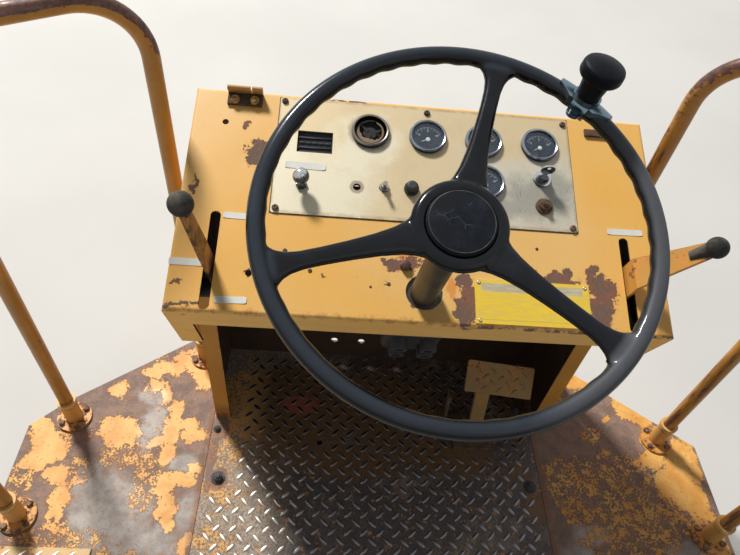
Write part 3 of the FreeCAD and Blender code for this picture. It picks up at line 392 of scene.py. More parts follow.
def walked_deck(name, solid, thin, steel, seam_place, seed):
    """A deck plate whose paint has been walked off: yellow islands, lilac rust and grey scuffed steel."""
    look, at = begin(name)
    swing = at.swing(0.018, 0.42, 11, 0.72, seed) - 0.05
    fine = at.swing(0.005, 0.34, 4, 0.66, seed + 3)
    pushed = at.warped(0.04, 0.018, seed + 2)
    field = pushed.spots(solid).most(pushed.spots(thin).least(0.04))
    field = field.most(-1.2) + swing + fine
    islands = field.fade(-0.02, 0.04)
    rim = field.fade(-0.16, -0.03) * (1.0 - islands)
    scuffed = (pushed.spots(steel) + swing * 0.5).fade(-0.3, 0.3)
    rust = rust_colour(at, RUST_LILAC, seed)
    grain = at.noise(0.0035, 6, 0.75, seed + 7)
    metal = at.noise(0.03, 7, 0.7, seed + 6).fade(0.38, 0.62).mix(STEEL_DARK, BARE_STEEL)
    metal = (grain.fade(0.46, 0.36) * 0.6).mix(metal, (104, 96, 92))
    metal = (at.noise(0.015, 6, 0.7, seed + 8).fade(0.54, 0.66) * 0.7).mix(metal, (166, 134, 110))
    metal = (at.noise(0.006, 6, 0.75, seed + 18).fade(0.58, 0.64) * 0.7).mix(metal, (110, 84, 68))
    ground = scuffed.mix(rust, metal)
    ground = (rim * 0.65).mix(ground, (120, 78, 56))
    seam = abs(at.x - seam_place).fade(0.016, 0.004) * at.noise(0.02, 6, 0.7, seed + 15).fade(0.34, 0.52)
    paint = at.noise(0.05, 5, 0.6, seed + 9).fade(0.38, 0.62).mix((240, 186, 104), (222, 158, 76))
    paint = (grain.fade(0.55, 0.7) * 0.35).mix(paint, (190, 140, 84))
    pits = at.noise(0.008, 6, 0.74, seed + 21).fade(0.585, 0.63)
    paint = (pits * 0.75).mix(paint, (158, 100, 62))
    colour = islands.mix(ground, paint)
    colour = (seam * 0.8).mix(colour, (136, 94, 68))
    rough = islands.between(0.72, 0.56) - scuffed * 0.14
    height = islands * 0.8 + grain * 0.4
    normal = height.relief(0.0004, at.noise(0.16, 2, 0.4, seed + 12).relief(0.002))
    return look.finish(colour, rough, scuffed * (1.0 - islands) * 0.25, normal)


def tread_ground():
    """The sheet between the tread lugs: trodden steel and rust, with paint left in front and in the corners, and
    painted shadow over most of it.
    """
    look, at = begin("tread_ground")
    swing = at.swing(0.032, 0.5, 10, 0.68, 3.0)
    fine = at.noise(0.005, 6, 0.72, 4.0)
    dirt = fine.fade(0.38, 0.62).mix((106, 94, 84), (170, 156, 140))
    dirt = swing.fade(0.0, 0.4).mix(dirt, (108, 78, 62))
    # Painted shadow: the ground darkens in clouds over all but the left part of the plate.
    shade = at.x.fade(-0.27, -0.17) * at.noise(0.12, 4, 0.6, 9.0).fade(0.3, 0.55)
    dirt = (shade * 0.85).mix(dirt, (46, 44, 48))
    dirt = (at.noise(0.009, 5, 0.7, 6.0).fade(0.56, 0.64) * 0.8).mix(dirt, (196, 142, 86))
    speckle = (fine - 0.5) * 3.0
    pushed = at.warped(0.05, 0.026, 12.0)
    left = pushed.spots(TREAD_PAINT).most(pushed.spots(TREAD_THIN).least(-0.02))
    field = left.most(-1.0) + swing + speckle
    paint = field.fade(-0.02, 0.08)
    # Painted shade: the paint that is left is lit yellow at the left and shaded brown towards the right.
    shaded = fine.fade(0.4, 0.66).mix((112, 82, 50), (78, 58, 40))
    colour = paint.mix(dirt, at.x.fade(-0.32, -0.24).mix((222, 168, 98), shaded))
    reddish = (at.spots(TREAD_RED) + swing * 0.5).fade(-0.1, 0.25)
    colour = (reddish * 0.75).mix(colour, (170, 88, 74))
    rusty = (at.spots(TREAD_RUST) + swing * 0.8).fade(-0.05, 0.15)
    colour = (rusty * 0.8).mix(colour, rust_colour(at, RUST_RED, 8.0))
    height = fine * 0.6 + paint * 0.5
    return look.finish(colour, 0.6, (1.0 - paint) * 0.15, height.relief(0.0004))


def tread_lug(name, bright, middle, worn, dirt):
    """Raised lugs: bright tops where boots polish them, darker towards the middle and darker still in front, partly
    worn steel and partly painted shade, with dirty flanks.
    """
    look, at = begin(name)
    grain = at.noise(0.004, 5, 0.7, 2.0)
    ahead = (at.y + at.swing(0.08, 0.05, 4, 0.6, 8.0)).fade(0.02, 0.12)
    top = look.facing.z.fade(0.8, 0.97)
    rubbed = (grain * 0.5 + at.noise(0.06, 5, 0.6, 5.0)).fade(0.42, 0.67)
    # Partly painted shade: lug tops darken towards the middle of the deck and more in front, where the console
    # shades them.
    steel = ahead.mix(at.x.fade(-0.26, -0.12).mix(bright, middle), worn)
    share = (top * 0.75 + 0.25) * rubbed.between(0.45, 1.0)
    return look.finish(share.mix(dirt, steel), share.between(0.62, 0.36), share.between(0.15, 0.7),
                       grain.relief(0.0002))


def instrument_sheet():
    """Cream-coloured aluminium, warmer on its left, with fine speckle, browner borders and scuffs round the key."""
    look, at = begin("instrument_sheet", PANEL_LOCAL)
    across, along = at.x, at.y
    cloud = at.noise(0.07, 6, 0.62, 1.0)
    speck = at.noise(0.002, 4, 0.7, 2.0)
    shift = at.swing(0.09, 0.06, 4, 0.6, 4.0)
    side = (across + shift).fade(-0.1, 0.14)
    colour = side.mix((230, 222, 196), (208, 202, 184))
    upper = (along + shift).fade(0.26, 0.33)
    middle = abs(across + shift).fade(0.11, 0.03)
    colour = (upper.most(middle) * 0.8).mix(colour, (216, 194, 150))
    colour = (cloud.fade(0.5, 0.68) * 0.45).mix(colour, (204, 184, 146))
    colour = (speck.fade(0.5, 0.7) * 0.35).mix(colour, (164, 152, 124))
    swing = at.swing(0.03, 0.4, 8, 0.7, 8.0)
    smear = (at.spots(PLATE_SCUFFS) + swing).fade(-0.2, 0.7)
    reach = (at - (0.2, 0.224, 0.0)).length()
    warped = reach * 1150.0 + swing * 7.0
    rings = warped.sine().fade(0.35, 1.0) * at.noise(0.014, 5, 0.7, 7.0).fade(0.48, 0.62)
    colour = (smear * 0.62).mix(colour, (128, 130, 126))
    colour = (rings * smear * 0.55).mix(colour, (98, 104, 106))
    smudge = at.stretched((0.35, 1.0, 1.0)).noise(0.02, 6, 0.7, 15.0).fade(0.6, 0.72) * smear
    colour = (smudge * 0.6).mix(colour, (84, 88, 90))
    border = along.fade(0.168, 0.1615).most(along.fade(0.362, 0.3665), across.fade(-0.2285, -0.2345),
                                            across.fade(0.231, 0.2365))
    border = border * at.noise(0.012, 6, 0.7, 9.0).fade(0.34, 0.6)
    colour = (border * 0.45).mix(colour, (140, 108, 70))
    stain = at.spots(PLATE_STAINS) + swing * 0.3
    colour = (stain.fade(-0.05, 0.2) * 0.7).mix(colour, (128, 112, 92))
    scratch = at.stretched((0.12, 1.0, 1.0)).noise(0.0025, 4, 0.7, 11.0)
    return look.finish(colour, speck.between(0.4, 0.62), 0.15, scratch.relief(0.00012))


def sign_sheet():
    """The blank yellow plate: bare metal band at its top, a thin pale frame line and finely rubbed paint."""
    look, at = begin("sign_sheet", PANEL_LOCAL)
    across, along = at.x, at.y
    rub = at.stretched((0.3, 1.6, 1.0)).noise(0.01, 8, 0.74, 3.0)
    fine = at.noise(0.0016, 4, 0.7, 5.0)
    colour = rub.fade(0.38, 0.62).mix((246, 208, 44), (230, 198, 84))
    colour = (fine.fade(0.48, 0.66) * 0.35).mix(colour, (238, 222, 140))
    inside = across.fade(0.0815, 0.0825) * across.fade(0.2345, 0.2335)
    band = along.fade(0.0545, 0.056) * along.fade(0.069, 0.068) * inside
    colour = band.mix(colour, rub.fade(0.4, 0.6).mix((206, 194, 164), (184, 174, 142)))
    frame_line = abs(along - 0.0125).fade(0.0008, 0.0004)
    colour = (frame_line * inside * 0.5).mix(colour, (190, 160, 52))
    return look.finish(colour, rub.between(0.4, 0.62), 0.12, rub.relief(0.0001))


def wheel_black():
    """Black moulding polished by hands, with a painted sky reflection along its rim; dust dulls the rim's top on the
    right.
    """
    look, at = begin("wheel_black")
    fine = at.noise(0.003, 5, 0.7, 2.0)
    cloud = at.noise(0.05, 6, 0.62, 0.0)
    flat = look.local(*WHEEL_LOCAL) * (1.0, 1.0, 0.0)
    rim = flat.length().fade(0.2, 0.209)
    up = look.towards((0.0, -math.sin(WHEEL_TILT), math.cos(WHEEL_TILT))).fade(0.25, 0.95)
    side = (at.x - at.y * 0.35).fade(0.13, 0.19)
    dust = side * rim * 0.75 + cloud.fade(0.45, 0.75) * 0.08
    dust = up * dust * fine.between(0.7, 1.15)
    # Painted reflection: a blue-grey band on the rim where it faces up and towards the driver, faint on spokes and
    # hub.
    painted_sheen = look.towards((-0.1, -0.4, 0.9)).fade(0.7, 0.99) * cloud.between(0.6, 1.1)
    painted_sheen = painted_sheen * rim.between(0.12, 0.9)
    colour = painted_sheen.mix((4, 6, 11), (52, 60, 72))
    colour = dust.mix(colour, (92, 94, 100))
    scratch = at.stretched((1.0, 0.2, 1.0)).noise(0.002, 3, 0.6, 6.0)
    rough = dust.between(0.2, 0.6) + cloud.fade(0.5, 0.7) * 0.08
    return look.finish(colour, rough, 0.0, scratch.relief(0.00004), specular=0.12, coat=0.2, coat_rough=0.06)


def moulded_black(name, base, dusty, gloss, seed):
    """Matt black moulding, paler where hands and dust have dulled it."""
    look, at = begin(name)
    cloud = at.noise(0.03, 6, 0.62, seed)
    fine = at.noise(0.002, 5, 0.7, seed + 2)
    share = look.facing.z.fade(-0.4, 0.9) * cloud.fade(0.3, 0.75)
    colour = share.mix(base, dusty)
    rough = share.between(gloss, gloss + 0.12) + fine * 0.08
    return look.finish(colour, rough, 0.0, fine.relief(0.00005), specular=0.08)


def hub_cap_look():
    """The cap of the wheel: matt black with dust and thin cracks."""
    look, at = begin("hub_cap_black", WHEEL_LOCAL)
    warp = at.noise(0.02, 4, 0.6, 2.0)
    push = look.add("CombineXYZ", "Vector", {"X": warp * 0.02, "Y": warp * -0.015})
    crack = (at + push).cells(0.017, "DISTANCE_TO_EDGE").fade(0.03, 0.008)
    crack = crack * at.spots(CAP_CRACKS).fade(0.0, 0.25) * at.noise(0.012, 2, 0.5, 4.0).fade(0.46, 0.54)
    dust = at.noise(0.015, 6, 0.7, 6.0)
    colour = dust.fade(0.42, 0.75).mix((16, 20, 27), (36, 42, 52))
    colour = (crack * 0.55).mix(colour, (82, 88, 94))
    height = crack * -1.0 + dust * 0.2
    return look.finish(colour, dust.between(0.4, 0.62), 0.0, height.relief(0.0003), specular=0.12)


def bright_metal(name, colour, dull, rough, seed, pitted, painted_reflection):
    """Plated or bare metal with dull specks and a painted reflection, darker by this share where it leans away from
    the sky.
    """
    look, at = begin(name)
    speck = at.noise(0.0035, 5, 0.7, seed)
    broad = at.noise(0.02, 4, 0.6, seed + 2)
    share = (speck * 0.6 + broad * 0.4).fade(0.62 - pitted * 0.2, 0.7)
    # Painted reflection: darker where the surface faces down or to the right.
    lean = look.facing.z + look.facing.x * -0.4
    plate = (lean.fade(0.62, 0.3) * painted_reflection).mix(colour, (30, 34, 40))
    return look.finish(share.mix(plate, dull), share.between(rough, 0.7), share.between(1.0, 0.55),
                       speck.relief(0.00006))


def rusted(name, light, dark, fresh, seed, streak=(1.0, 1.0, 1.0)):
    """Iron rusted all over, scabby and matt."""
    look, at = begin(name)
    broad = at.stretched(streak).noise(0.012, 7, 0.68, seed)
    fine = at.noise(0.003, 5, 0.7, seed + 3)
    colour = broad.fade(0.38, 0.62).mix(dark, light)
    colour = (fine.fade(0.6, 0.7) * 0.7).mix(colour, fresh)
    height = broad + fine * 0.6
    return look.finish(colour, 0.8, 0.15, height.relief(0.0005))


def plain(name, colour, rough, grain=0.004, depth=0.0001, tint=0.25, seed=0.0, coat=0.0):
    """A quiet surface with slight cloudiness and grain."""
    look, at = begin(name)
    cloud = at.noise(grain * 8, 4, 0.6, seed)
    fine = at.noise(grain, 4, 0.65, seed + 1)
    darker = tuple(value * (1.0 - tint) for value in tone(*colour)[:3]) + (1.0,)
    shade = cloud.fade(0.3, 0.7).mix(darker, colour)
    return look.finish(shade, fine.between(rough - 0.06, rough + 0.08), 0.0, fine.relief(depth), coat=coat)


def lens():
    """Gauge glass: clear, with a little dust."""
    look = Look("lens_glass")
    dust = look.part.noise(0.01, 6, 0.7, 3.0)
    look.feed(look.shader, {"Transmission Weight": 1.0, "IOR": 1.18})
    return look.finish((0.93, 0.97, 0.98, 1.0), dust.between(0.02, 0.12))


def rail_paint(name, rubbed, width, streaks, flaked, seed):
    """Ochre pipe paint: brown along the side that hands rub, with rust streaks, long chips and a dirty foot."""
    look, at = begin(name)
    height = at.z
    bar = height.fade(0.76, 0.88)
    swing = at.swing(0.016, 0.3, 8, 0.68, seed)
    band = look.towards(rubbed) + swing * 0.6
    bare = band.fade(1.0 - width - 0.05, 1.0 - width + 0.05) * bar
    near = band.fade(1.0 - width - 0.45, 1.0 - width) * bar
    posts = at.stretched((1.0, 1.0, 0.22)).noise(0.0075, 5, 0.62, seed + 3)
    bars = at.stretched((1.0, 0.22, 1.0)).noise(0.0075, 5, 0.62, seed + 4)
    chips = bar.between(posts, bars) + near * 0.1
    chip = chips.fade(0.685, 0.705)
    foot = height.fade(0.172, 0.158) * at.noise(0.012, 5, 0.7, seed + 9).fade(0.3, 0.5)
    broad = at.noise(0.12, 3, 0.5, seed + 5)
    paint = broad.fade(0.35, 0.65).mix(PIPE_YELLOW, (202, 148, 68))
    paint = (chips.fade(0.6, 0.69) * 0.5).mix(paint, STAIN_ORANGE)
    run = bar.between(at.stretched((1.0, 1.0, 0.1)).noise(0.01, 6, 0.66, seed + 11),
                      at.stretched((1.0, 0.1, 1.0)).noise(0.01, 6, 0.66, seed + 12))
    streak = run.fade(0.42, 0.58) * height.fade(0.3, 0.6).between(streaks, streaks * 0.4)
    paint = streak.mix(paint, (142, 88, 42))
    rust = at.noise(0.006, 6, 0.7, seed + 7).fade(0.4, 0.62).mix((82, 56, 50), (116, 80, 66))
    flank = look.towards((-0.85, -0.35, 0.3)) + (run - 0.5) * 2.6
    flank = flank.fade(0.92, 1.02) * flaked
    worn = bare.most(chip, foot, flank)
    polish = bare * at.noise(0.02, 4, 0.6, seed + 8).fade(0.36, 0.6)
    rough = worn.between(0.4, 0.7) - polish * 0.32
    relief = (swing * 0.3 - worn).relief(0.0003)
    return look.finish(worn.mix(paint, rust), rough, polish * 0.4, relief)


def socket_paint():
    """Rail sockets: flanges of dirty yellow and brown rust, yellower sleeves, a pale worn ring at their tops."""
    look, at = begin("socket_paint")
    height = at.z
    swing = at.swing(0.014, 0.5, 9, 0.72, 70.0)
    field = swing + height.fade(0.094, 0.11).between(-0.02, -0.45)
    bare = field.fade(0.0, 0.06)
    paint = (field.fade(-0.5, 0.0) * 0.35).mix((214, 164, 90), STAIN_ORANGE)
    colour = bare.mix(paint, rust_colour(at, RUST_RED, 70.0))
    ring = height.fade(0.148, 0.149) * swing.fade(-0.3, 0.2)
    colour = (ring * 0.7).mix(colour, (226, 192, 130))
    seam = abs(height - 0.1472).fade(0.0012, 0.0004)
    colour = (seam * 0.8).mix(colour, (78, 52, 34))
    grain = at.noise(0.003, 4, 0.6, 76.0)
    normal = (grain * 0.4 - bare).relief(0.0004)
    return look.finish(colour, bare.between(0.5, 0.8), 0.0, normal)


def hinge_look():
    """The hinge: tan paint on its upright leaf, bare rusty iron on the leaf that lies on the console, darkened
    further as painted shade.
    """
    look, at = begin("hinge_look", PANEL_LOCAL)
    swing = at.swing(0.01, 0.35, 8, 0.7, 5.0)
    base = (at.z * -120.0 + swing).fade(-0.95, -0.75)
    bare = base.most(look.edges(0.002) * swing.fade(0.05, 0.2))
    paint = coat_colour(at, (206, 162, 92), (180, 132, 66), 7.0)
    # The base leaf's rust tones are dark iron, and darker still as painted shade.
    rust = rust_colour(at, ((84, 66, 52), (68, 54, 44), (122, 96, 70), (44, 34, 28), (150, 96, 50)), 7.0)
    return over_rust(at, paint, bare, rust, 7.0, 0.5)


# Ragged rust and stains on the console top and its plates: across, along, reach across, reach along, in mm
CONSOLE_BALD = (
    (-263, 262, 20, 23), (-282, 311, 7, 5), (-45, 89, 17, 10), (-22, 91, 15, 13), (58, 68, 14, 14),
    (62, 34, 15, 34), (52, 24, 10, 22), (198, 81, 36, 8), (213, 91, 8, 9), (164, 86, 11, 5), (254, 94, 11, 13),
    (268, 68, 21, 20), (263, 38, 18, 20), (264, 12, 16, 14), (-353, 40, 6, 5), (-350, 9, 20, 4), (-322, 12, 8, 3),
    (-254, 62, 6, 4), (-146, 60, 5, 3), (-18, 25, 5, 4), (-55, 58, 3, 3), (-123, 371, 34, 4), (-350, 200, 4, 10),
)
CONSOLE_SMEARS = ((38, 56, 8, 24), (-28, 104, 20, 6))
PLATE_SCUFFS = ((176, 214, 80, 50), (206, 236, 40, 36), (130, 196, 60, 24))
PLATE_STAINS = ((-106, 213, 12, 12), (-88.2, 314, 36, 36))
CAP_CRACKS = ((-4, 10, 28, 22),)
# Paint left on the deck, solid or thin, and scuffed steel: x, y, reach x, reach y, in millimetres
DECK_LEFT_SOLID = (
    (-527, 262, 30, 18), (-492, 274, 34, 22), (-445, 298, 45, 30), (-414, 266, 30, 26), (-516, 226, 22, 20),
    (-490, 200, 16, 28), (-592, 212, 26, 22), (-420, 232, 12, 20), (-456, 160, 18, 34), (-424, 134, 26, 16),
    (-406, 106, 30, 20), (-457, 112, 26, 32), (-458, 60, 18, 36), (-482, 88, 20, 14), (-446, -15, 22, 28),
    (-435, -55, 22, 26), (-414, 4, 30, 16), (-394, 32, 20, 16), (-428, -88, 10, 16), (-568, 108, 52, 34),
    (-724, 92, 26, 30), (-698, 62, 36, 38), (-718, 34, 30, 26), (-664, 6, 30, 18), (-643, -39, 24, 28),
    (-645, -74, 16, 22), (-742, 118, 26, 18), (-383, -125, 14, 20), (-400, 240, 16, 30),
)
DECK_LEFT_THIN = (
    (-550, 55, 50, 30), (-634, 12, 40, 26), (-625, -118, 90, 26), (-485, 15, 28, 75), (-736, -10, 24, 40),
    (-470, -180, 160, 40), (-660, -190, 70, 40), (-560, 300, 60, 20), (-400, 330, 30, 30),
)
DECK_LEFT_STEEL = (
    (-536, -69, 85, 85), (-500, 123, 28, 63), (-419, 42, 32, 26), (-393, -61, 28, 37), (-599, 1, 24, 40),
    (-462, -130, 80, 40), (-517, 198, 36, 20),
)
DECK_RIGHT_SOLID = (
    (604, 220, 50, 36), (631, 187, 26, 20), (612, 82, 22, 22), (638, 39, 28, 30), (668, 1, 32, 30),
    (700, -35, 28, 22), (701, 113, 30, 34), (714, 62, 20, 36), (491, 290, 40, 22), (540, 190, 14, 11),
    (600, 300, 50, 20), (725, 180, 16, 60), (628, 110, 20, 50), (668, 60, 34, 60), (690, 0, 30, 60),
    (705, -80, 24, 60),
)
DECK_RIGHT_THIN = (
    (424, 24, 60, 62), (545, 58, 75, 40), (579, -24, 100, 65), (520, -92, 100, 34), (434, -29, 44, 42),
    (500, -190, 110, 40), (493, 143, 24, 24), (690, -160, 40, 60), (420, 240, 30, 50),
)
DECK_RIGHT_STEEL = ((439, -85, 40, 22), (400, -160, 40, 60), (640, -110, 60, 20))
TREAD_PAINT = (
    (-200, 180, 170, 130), (20, 190, 160, 110), (150, 75, 110, 40), (-60, 60, 120, 40), (300, 45, 40, 30),
    (330, -30, 24, 40), (-290, -200, 80, 30), (320, 240, 50, 80),
)
TREAD_THIN = ((-345, 70, 50, 65), (-310, -15, 50, 30), (-330, -110, 30, 40))
TREAD_RUST = ((-342, 11, 22, 24), (323, 16, 20, 22), (-355, 130, 20, 40), (-362, 60, 10, 80))
TREAD_RED = ((-185, 190, 40, 26),)

weathered_paint("frame_paint", YELLOW_DEEP, (168, 122, 62), 0.56, gloss=0.6, seed=50.0)
# The pedal's pad and lugs are tan and dusty, and given darker still as painted shade.
weathered_paint("pedal_pad", (172, 138, 84), (150, 116, 68), 0.60, 0.66, 0.8, 0.6, seed=97.0)
weathered_paint("pedal_lug", (138, 110, 70), (118, 90, 56), 0.56, 0.66, 0.8, 0.5, seed=90.0)
weathered_paint("rear_tread_sheet", (228, 202, 150), (206, 170, 116), 0.57, 0.64, gloss=0.5, rust=RUST_LILAC,
                seed=95.0)
weathered_paint("lever_throttle", (216, 164, 80), (190, 138, 62), 0.575, 0.64, seed=33.0)
console_paint()
pedestal_paint()
walked_deck("deck_left", DECK_LEFT_SOLID, DECK_LEFT_THIN, DECK_LEFT_STEEL, -0.372, 4.0)
walked_deck("deck_right", DECK_RIGHT_SOLID, DECK_RIGHT_THIN, DECK_RIGHT_STEEL, 0.347, 14.0)
tread_ground()
# The middle and front lug colours here are dark partly as painted shade.
tread_lug("tread_lug", (206, 198, 186), (116, 116, 122), (60, 56, 56), (96, 80, 68))
tread_lug("rear_lug", (236, 230, 218), (220, 212, 200), (206, 198, 184), (196, 164, 118))
instrument_sheet()
sign_sheet()
wheel_black()
hub_cap_look()
moulded_black("knob_grey", (50, 50, 50), (132, 126, 116), 0.5, 9.0)
moulded_black("spinner_grey", (9, 12, 17), (30, 35, 44), 0.36, 19.0)
bright_metal("chrome", (186, 190, 194), (120, 120, 116), 0.14, 2.0, 0.2, 0.85)
bright_metal("bezel", (136, 144, 154), (84, 88, 92), 0.20, 4.0, 0.3, 0.8)
bright_metal("bronze", (134, 130, 122), (76, 66, 56), 0.28, 5.0, 0.5, 0.8)
bright_metal("clamp_steel", (112, 132, 142), (70, 80, 86), 0.30, 6.0, 0.35, 0.8)
bright_metal("zinc", (170, 166, 156), (112, 94, 76), 0.34, 8.0, 0.6, 0.6)
rusted("deck_bolt", (92, 92, 94), (54, 48, 44), (150, 132, 116), 14.0)
rusted("rust_iron", (108, 82, 62), (66, 50, 40), (150, 108, 72), 2.0)
rusted("bolt_rust", (116, 90, 74), (64, 48, 42), STAIN_ORANGE, 12.0)
rusted("brown_screw", (150, 122, 98), (70, 54, 44), (190, 160, 124), 28.0)
rusted("tan_bolt", (196, 156, 92), (140, 104, 60), (110, 78, 50), 18.0)
rusted("lever_direction", (176, 124, 58), (78, 50, 34), (206, 150, 70), 22.0, (1.0, 0.4, 0.4))
plain("dial", (38, 50, 66), 0.5, tint=0.3)
plain("dial_mark", (214, 218, 214), 0.5, tint=0.1)
plain("dark_inside", (16, 16, 18), 0.8, 0.002, 0.0004)
plain("meter_dark", (28, 36, 50), 0.7, 0.002, tint=0.4)
plain("card", (140, 118, 88), 0.7, 0.002, 0.0003, 0.35)
plain("label", (232, 234, 228), 0.42, tint=0.10, coat=0.2)
plain("rubber", (30, 31, 34), 0.58, 0.002, 0.0002, 0.35)
plain("column_paint", (72, 66, 54), 0.42, 0.004, 0.0002, 0.4, 4.0)
plain("unit_paint", (44, 42, 42), 0.55, 0.004, 0.0003, 0.4, 6.0)
lens()
hinge_look()
rail_paint("rail_left", (0.25, 0.0, 1.0), 0.72, 0.40, 0.0, 40.0)
rail_paint("rail_right", (-0.55, -0.15, 0.85), 0.36, 0.75, 0.9, 60.0)
socket_paint()

# The nodes that wear each look
WORN_BY = {
    "pedestal_paint": "pedestal_left pedestal_right pedestal_back", "console_paint": "console_shell",
    "deck_left": "deck_left", "deck_right": "deck_right", "tread_ground": "deck_centre",
    "rear_tread_sheet": "rear_tread", "instrument_sheet": "instrument_plate", "sign_sheet": "data_plate",
    "hub_cap_black": "wheel_cap", "spinner_grey": "spinner_knob", "knob_grey": "direction_knob throttle_knob",
    "clamp_steel": "spinner_clamp", "dial": "gauge_dials", "lens_glass": "gauge_lenses",
    "dark_inside": "hour_meter", "chrome": "ball_switch key_switch", "zinc": "toggle_switch steering_shaft",
    "rubber": "push_button", "rust_iron": "seized_knob hinge_right pedal_bracket pedal_latch",
    "hinge_look": "hinge_left", "bronze": "gauge_empty", "bezel": "gauge_left gauge_middle gauge_right gauge_low",
    "column_paint": "steering_column", "unit_paint": "steering_unit direction_bracket throttle_bracket",
    "wheel_black": "steering_wheel", "lever_direction": "direction_lever", "lever_throttle": "throttle_lever",
    "pedal_pad": "brake_pedal", "rail_left": "guard_rail_left", "rail_right": "guard_rail_right",
    "frame_paint": "frame_rail_left frame_rail_right frame_cross_members outriggers_left outriggers_right",
    "socket_paint": "rail_socket_left_front rail_socket_left_middle rail_socket_left_rear "
                    "rail_socket_right_front rail_socket_right_middle rail_socket_right_rear",
}
for look_name, names in WORN_BY.items():
    for node_name in names.split():
        worn = frame["nodes"][node_name].data.materials
        worn.clear()
        worn.append(materials[look_name])


# --- Mesh helpers

def mesh_piece(name, mesh, look_name, body="root", smooth=True):
    """A new object from a mesh, with its material, riding on a body."""
    mesh.materials.clear()
    mesh.materials.append(materials[look_name])
    mesh.shade_smooth() if smooth else mesh.shade_flat()
    thing = bpy.data.objects.new(name, mesh)
    bpy.context.scene.collection.objects.link(thing)
    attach(thing, body)
    return thing


def new_mesh(name, build):
    """A mesh from a bmesh, which is freed."""
    mesh = bpy.data.meshes.new(name)
    build.to_mesh(mesh)
    build.free()
    return mesh


def piece(name, build, look_name, body="root", smooth=True):
    """A new object from a bmesh, with its material, riding on a body."""
    mesh_piece(name, new_mesh(name, build), look_name, body, smooth)


def baked(holder):
    """The mesh of an object with its modifiers or its text worked in; the object is removed."""
    bpy.context.scene.collection.objects.link(holder)
    bpy.context.view_layer.update()
    mesh = bpy.data.meshes.new_from_object(holder.evaluated_get(bpy.context.evaluated_depsgraph_get()))
    bpy.data.objects.remove(holder)
    return mesh


def circle(count):
    """Angles round a full turn."""
    return [2 * math.pi * k / count for k in range(count)]


def loft(build, rings, ends="both"):
    """Faces between rings of points; both ends closed, or the top one, or the last ring joined to the first."""
    rings = [[build.verts.new(point) for point in ring] for ring in rings]
    for lower, upper in zip(rings, rings[1:] + rings[:1] if ends == "joined" else rings[1:]):
        for k in range(len(lower)):
            after = (k + 1) % len(lower)
            build.faces.new((lower[k], lower[after], upper[after], upper[k]))
    if ends == "both":
        build.faces.new(list(reversed(rings[0])))
    if ends != "joined":
        build.faces.new(rings[-1])


def turned(build, place, profile, count, ends="both"):
    """A closed turned form from (radius, height) rows, bottom to top."""
    loft(build, [[place @ Vector((radius * math.cos(angle), radius * math.sin(angle), height))
                  for angle in circle(count)] for radius, height in profile], ends)


def at_place(x, y, z=DECK_TOP, turn=0.0):
    """A frame standing on a place in the part's frame."""
    return shift(x, y, z) @ spin(turn)


def on_panel(across, along, height=0.0, turn=0.0):
    """A frame standing on a place on the console top."""
    return PANEL @ shift(across, along, height) @ spin(turn)


def hex_bolt(build, place, width, height, washer=0.0, stud=0.0):
    """A hexagonal head with rounded corners, on a washer, with the bolt's end showing if it has a stud."""
    base = 0.0
    if washer:
        half = washer / 2
        turned(build, place, ((half - 0.0006, 0.0), (half, 0.0006), (half, 0.0016), (half - 0.0006, 0.0022)), 20)
        base = 0.0021
    radius = width / 2 / math.cos(math.pi / 6)
    turned(build, place, [(radius * wide, base + height * high) for wide, high in
                          ((0.96, 0.0), (1.0, 0.12), (1.0, 0.78), (0.93, 0.93), (0.80, 1.0))], 6)
    if stud:
        turned(build, place, ((width * 0.30, base + height * 0.9), (width * 0.30, base + height + stud * 0.8),
                              (width * 0.24, base + height + stud)), 12)


def round_head(build, place, width, height, count=16):
    """A domed screw head with a sunk middle."""
    rows = ((1.0, 0.0), (1.0, 0.3), (0.86, 0.75), (0.55, 1.0), (0.30, 0.98), (0.18, 0.55))
    turned(build, place, [(width / 2 * wide, height * high) for wide, high in rows], count)


# --- Bolts and screws

SOCKET_BOLT_RADIUS = 0.0275
SOCKET_PLATE = 0.006
bolts = bmesh.new()
for socket in ("left_front", "left_middle", "left_rear", "right_front", "right_middle", "right_rear"):
    low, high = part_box("rail_socket_" + socket)
    for quarter in range(4):
        angle = math.radians(42 + 90 * quarter + (12 if socket.endswith("rear") else 0))
        bolt_x = (low[0] + high[0]) / 2 + SOCKET_BOLT_RADIUS * math.cos(angle)
        bolt_y = (low[1] + high[1]) / 2 + SOCKET_BOLT_RADIUS * math.sin(angle)
        hex_bolt(bolts, at_place(bolt_x, bolt_y, DECK_TOP + SOCKET_PLATE, angle), 0.011, 0.0065)
piece("socket_bolts", bolts, "brown_screw", smooth=False)

# Bolts through the deck into the frame: x, y, width
DECK_BOLTS = (
    (-0.342, 0.011, 0.017), (0.323, 0.016, 0.017), (-0.342, -0.190, 0.017), (0.323, -0.190, 0.017),
    (0.323, 0.200, 0.015), (-0.3607, 0.1214, 0.010),
)
deck_bolts = bmesh.new()
for x, y, width in DECK_BOLTS:
    hex_bolt(deck_bolts, at_place(x, y, DECK_TOP, x * 9), width, width * 0.55, width * 1.7, width * 0.2)
piece("deck_bolts", deck_bolts, "deck_bolt", smooth=False)

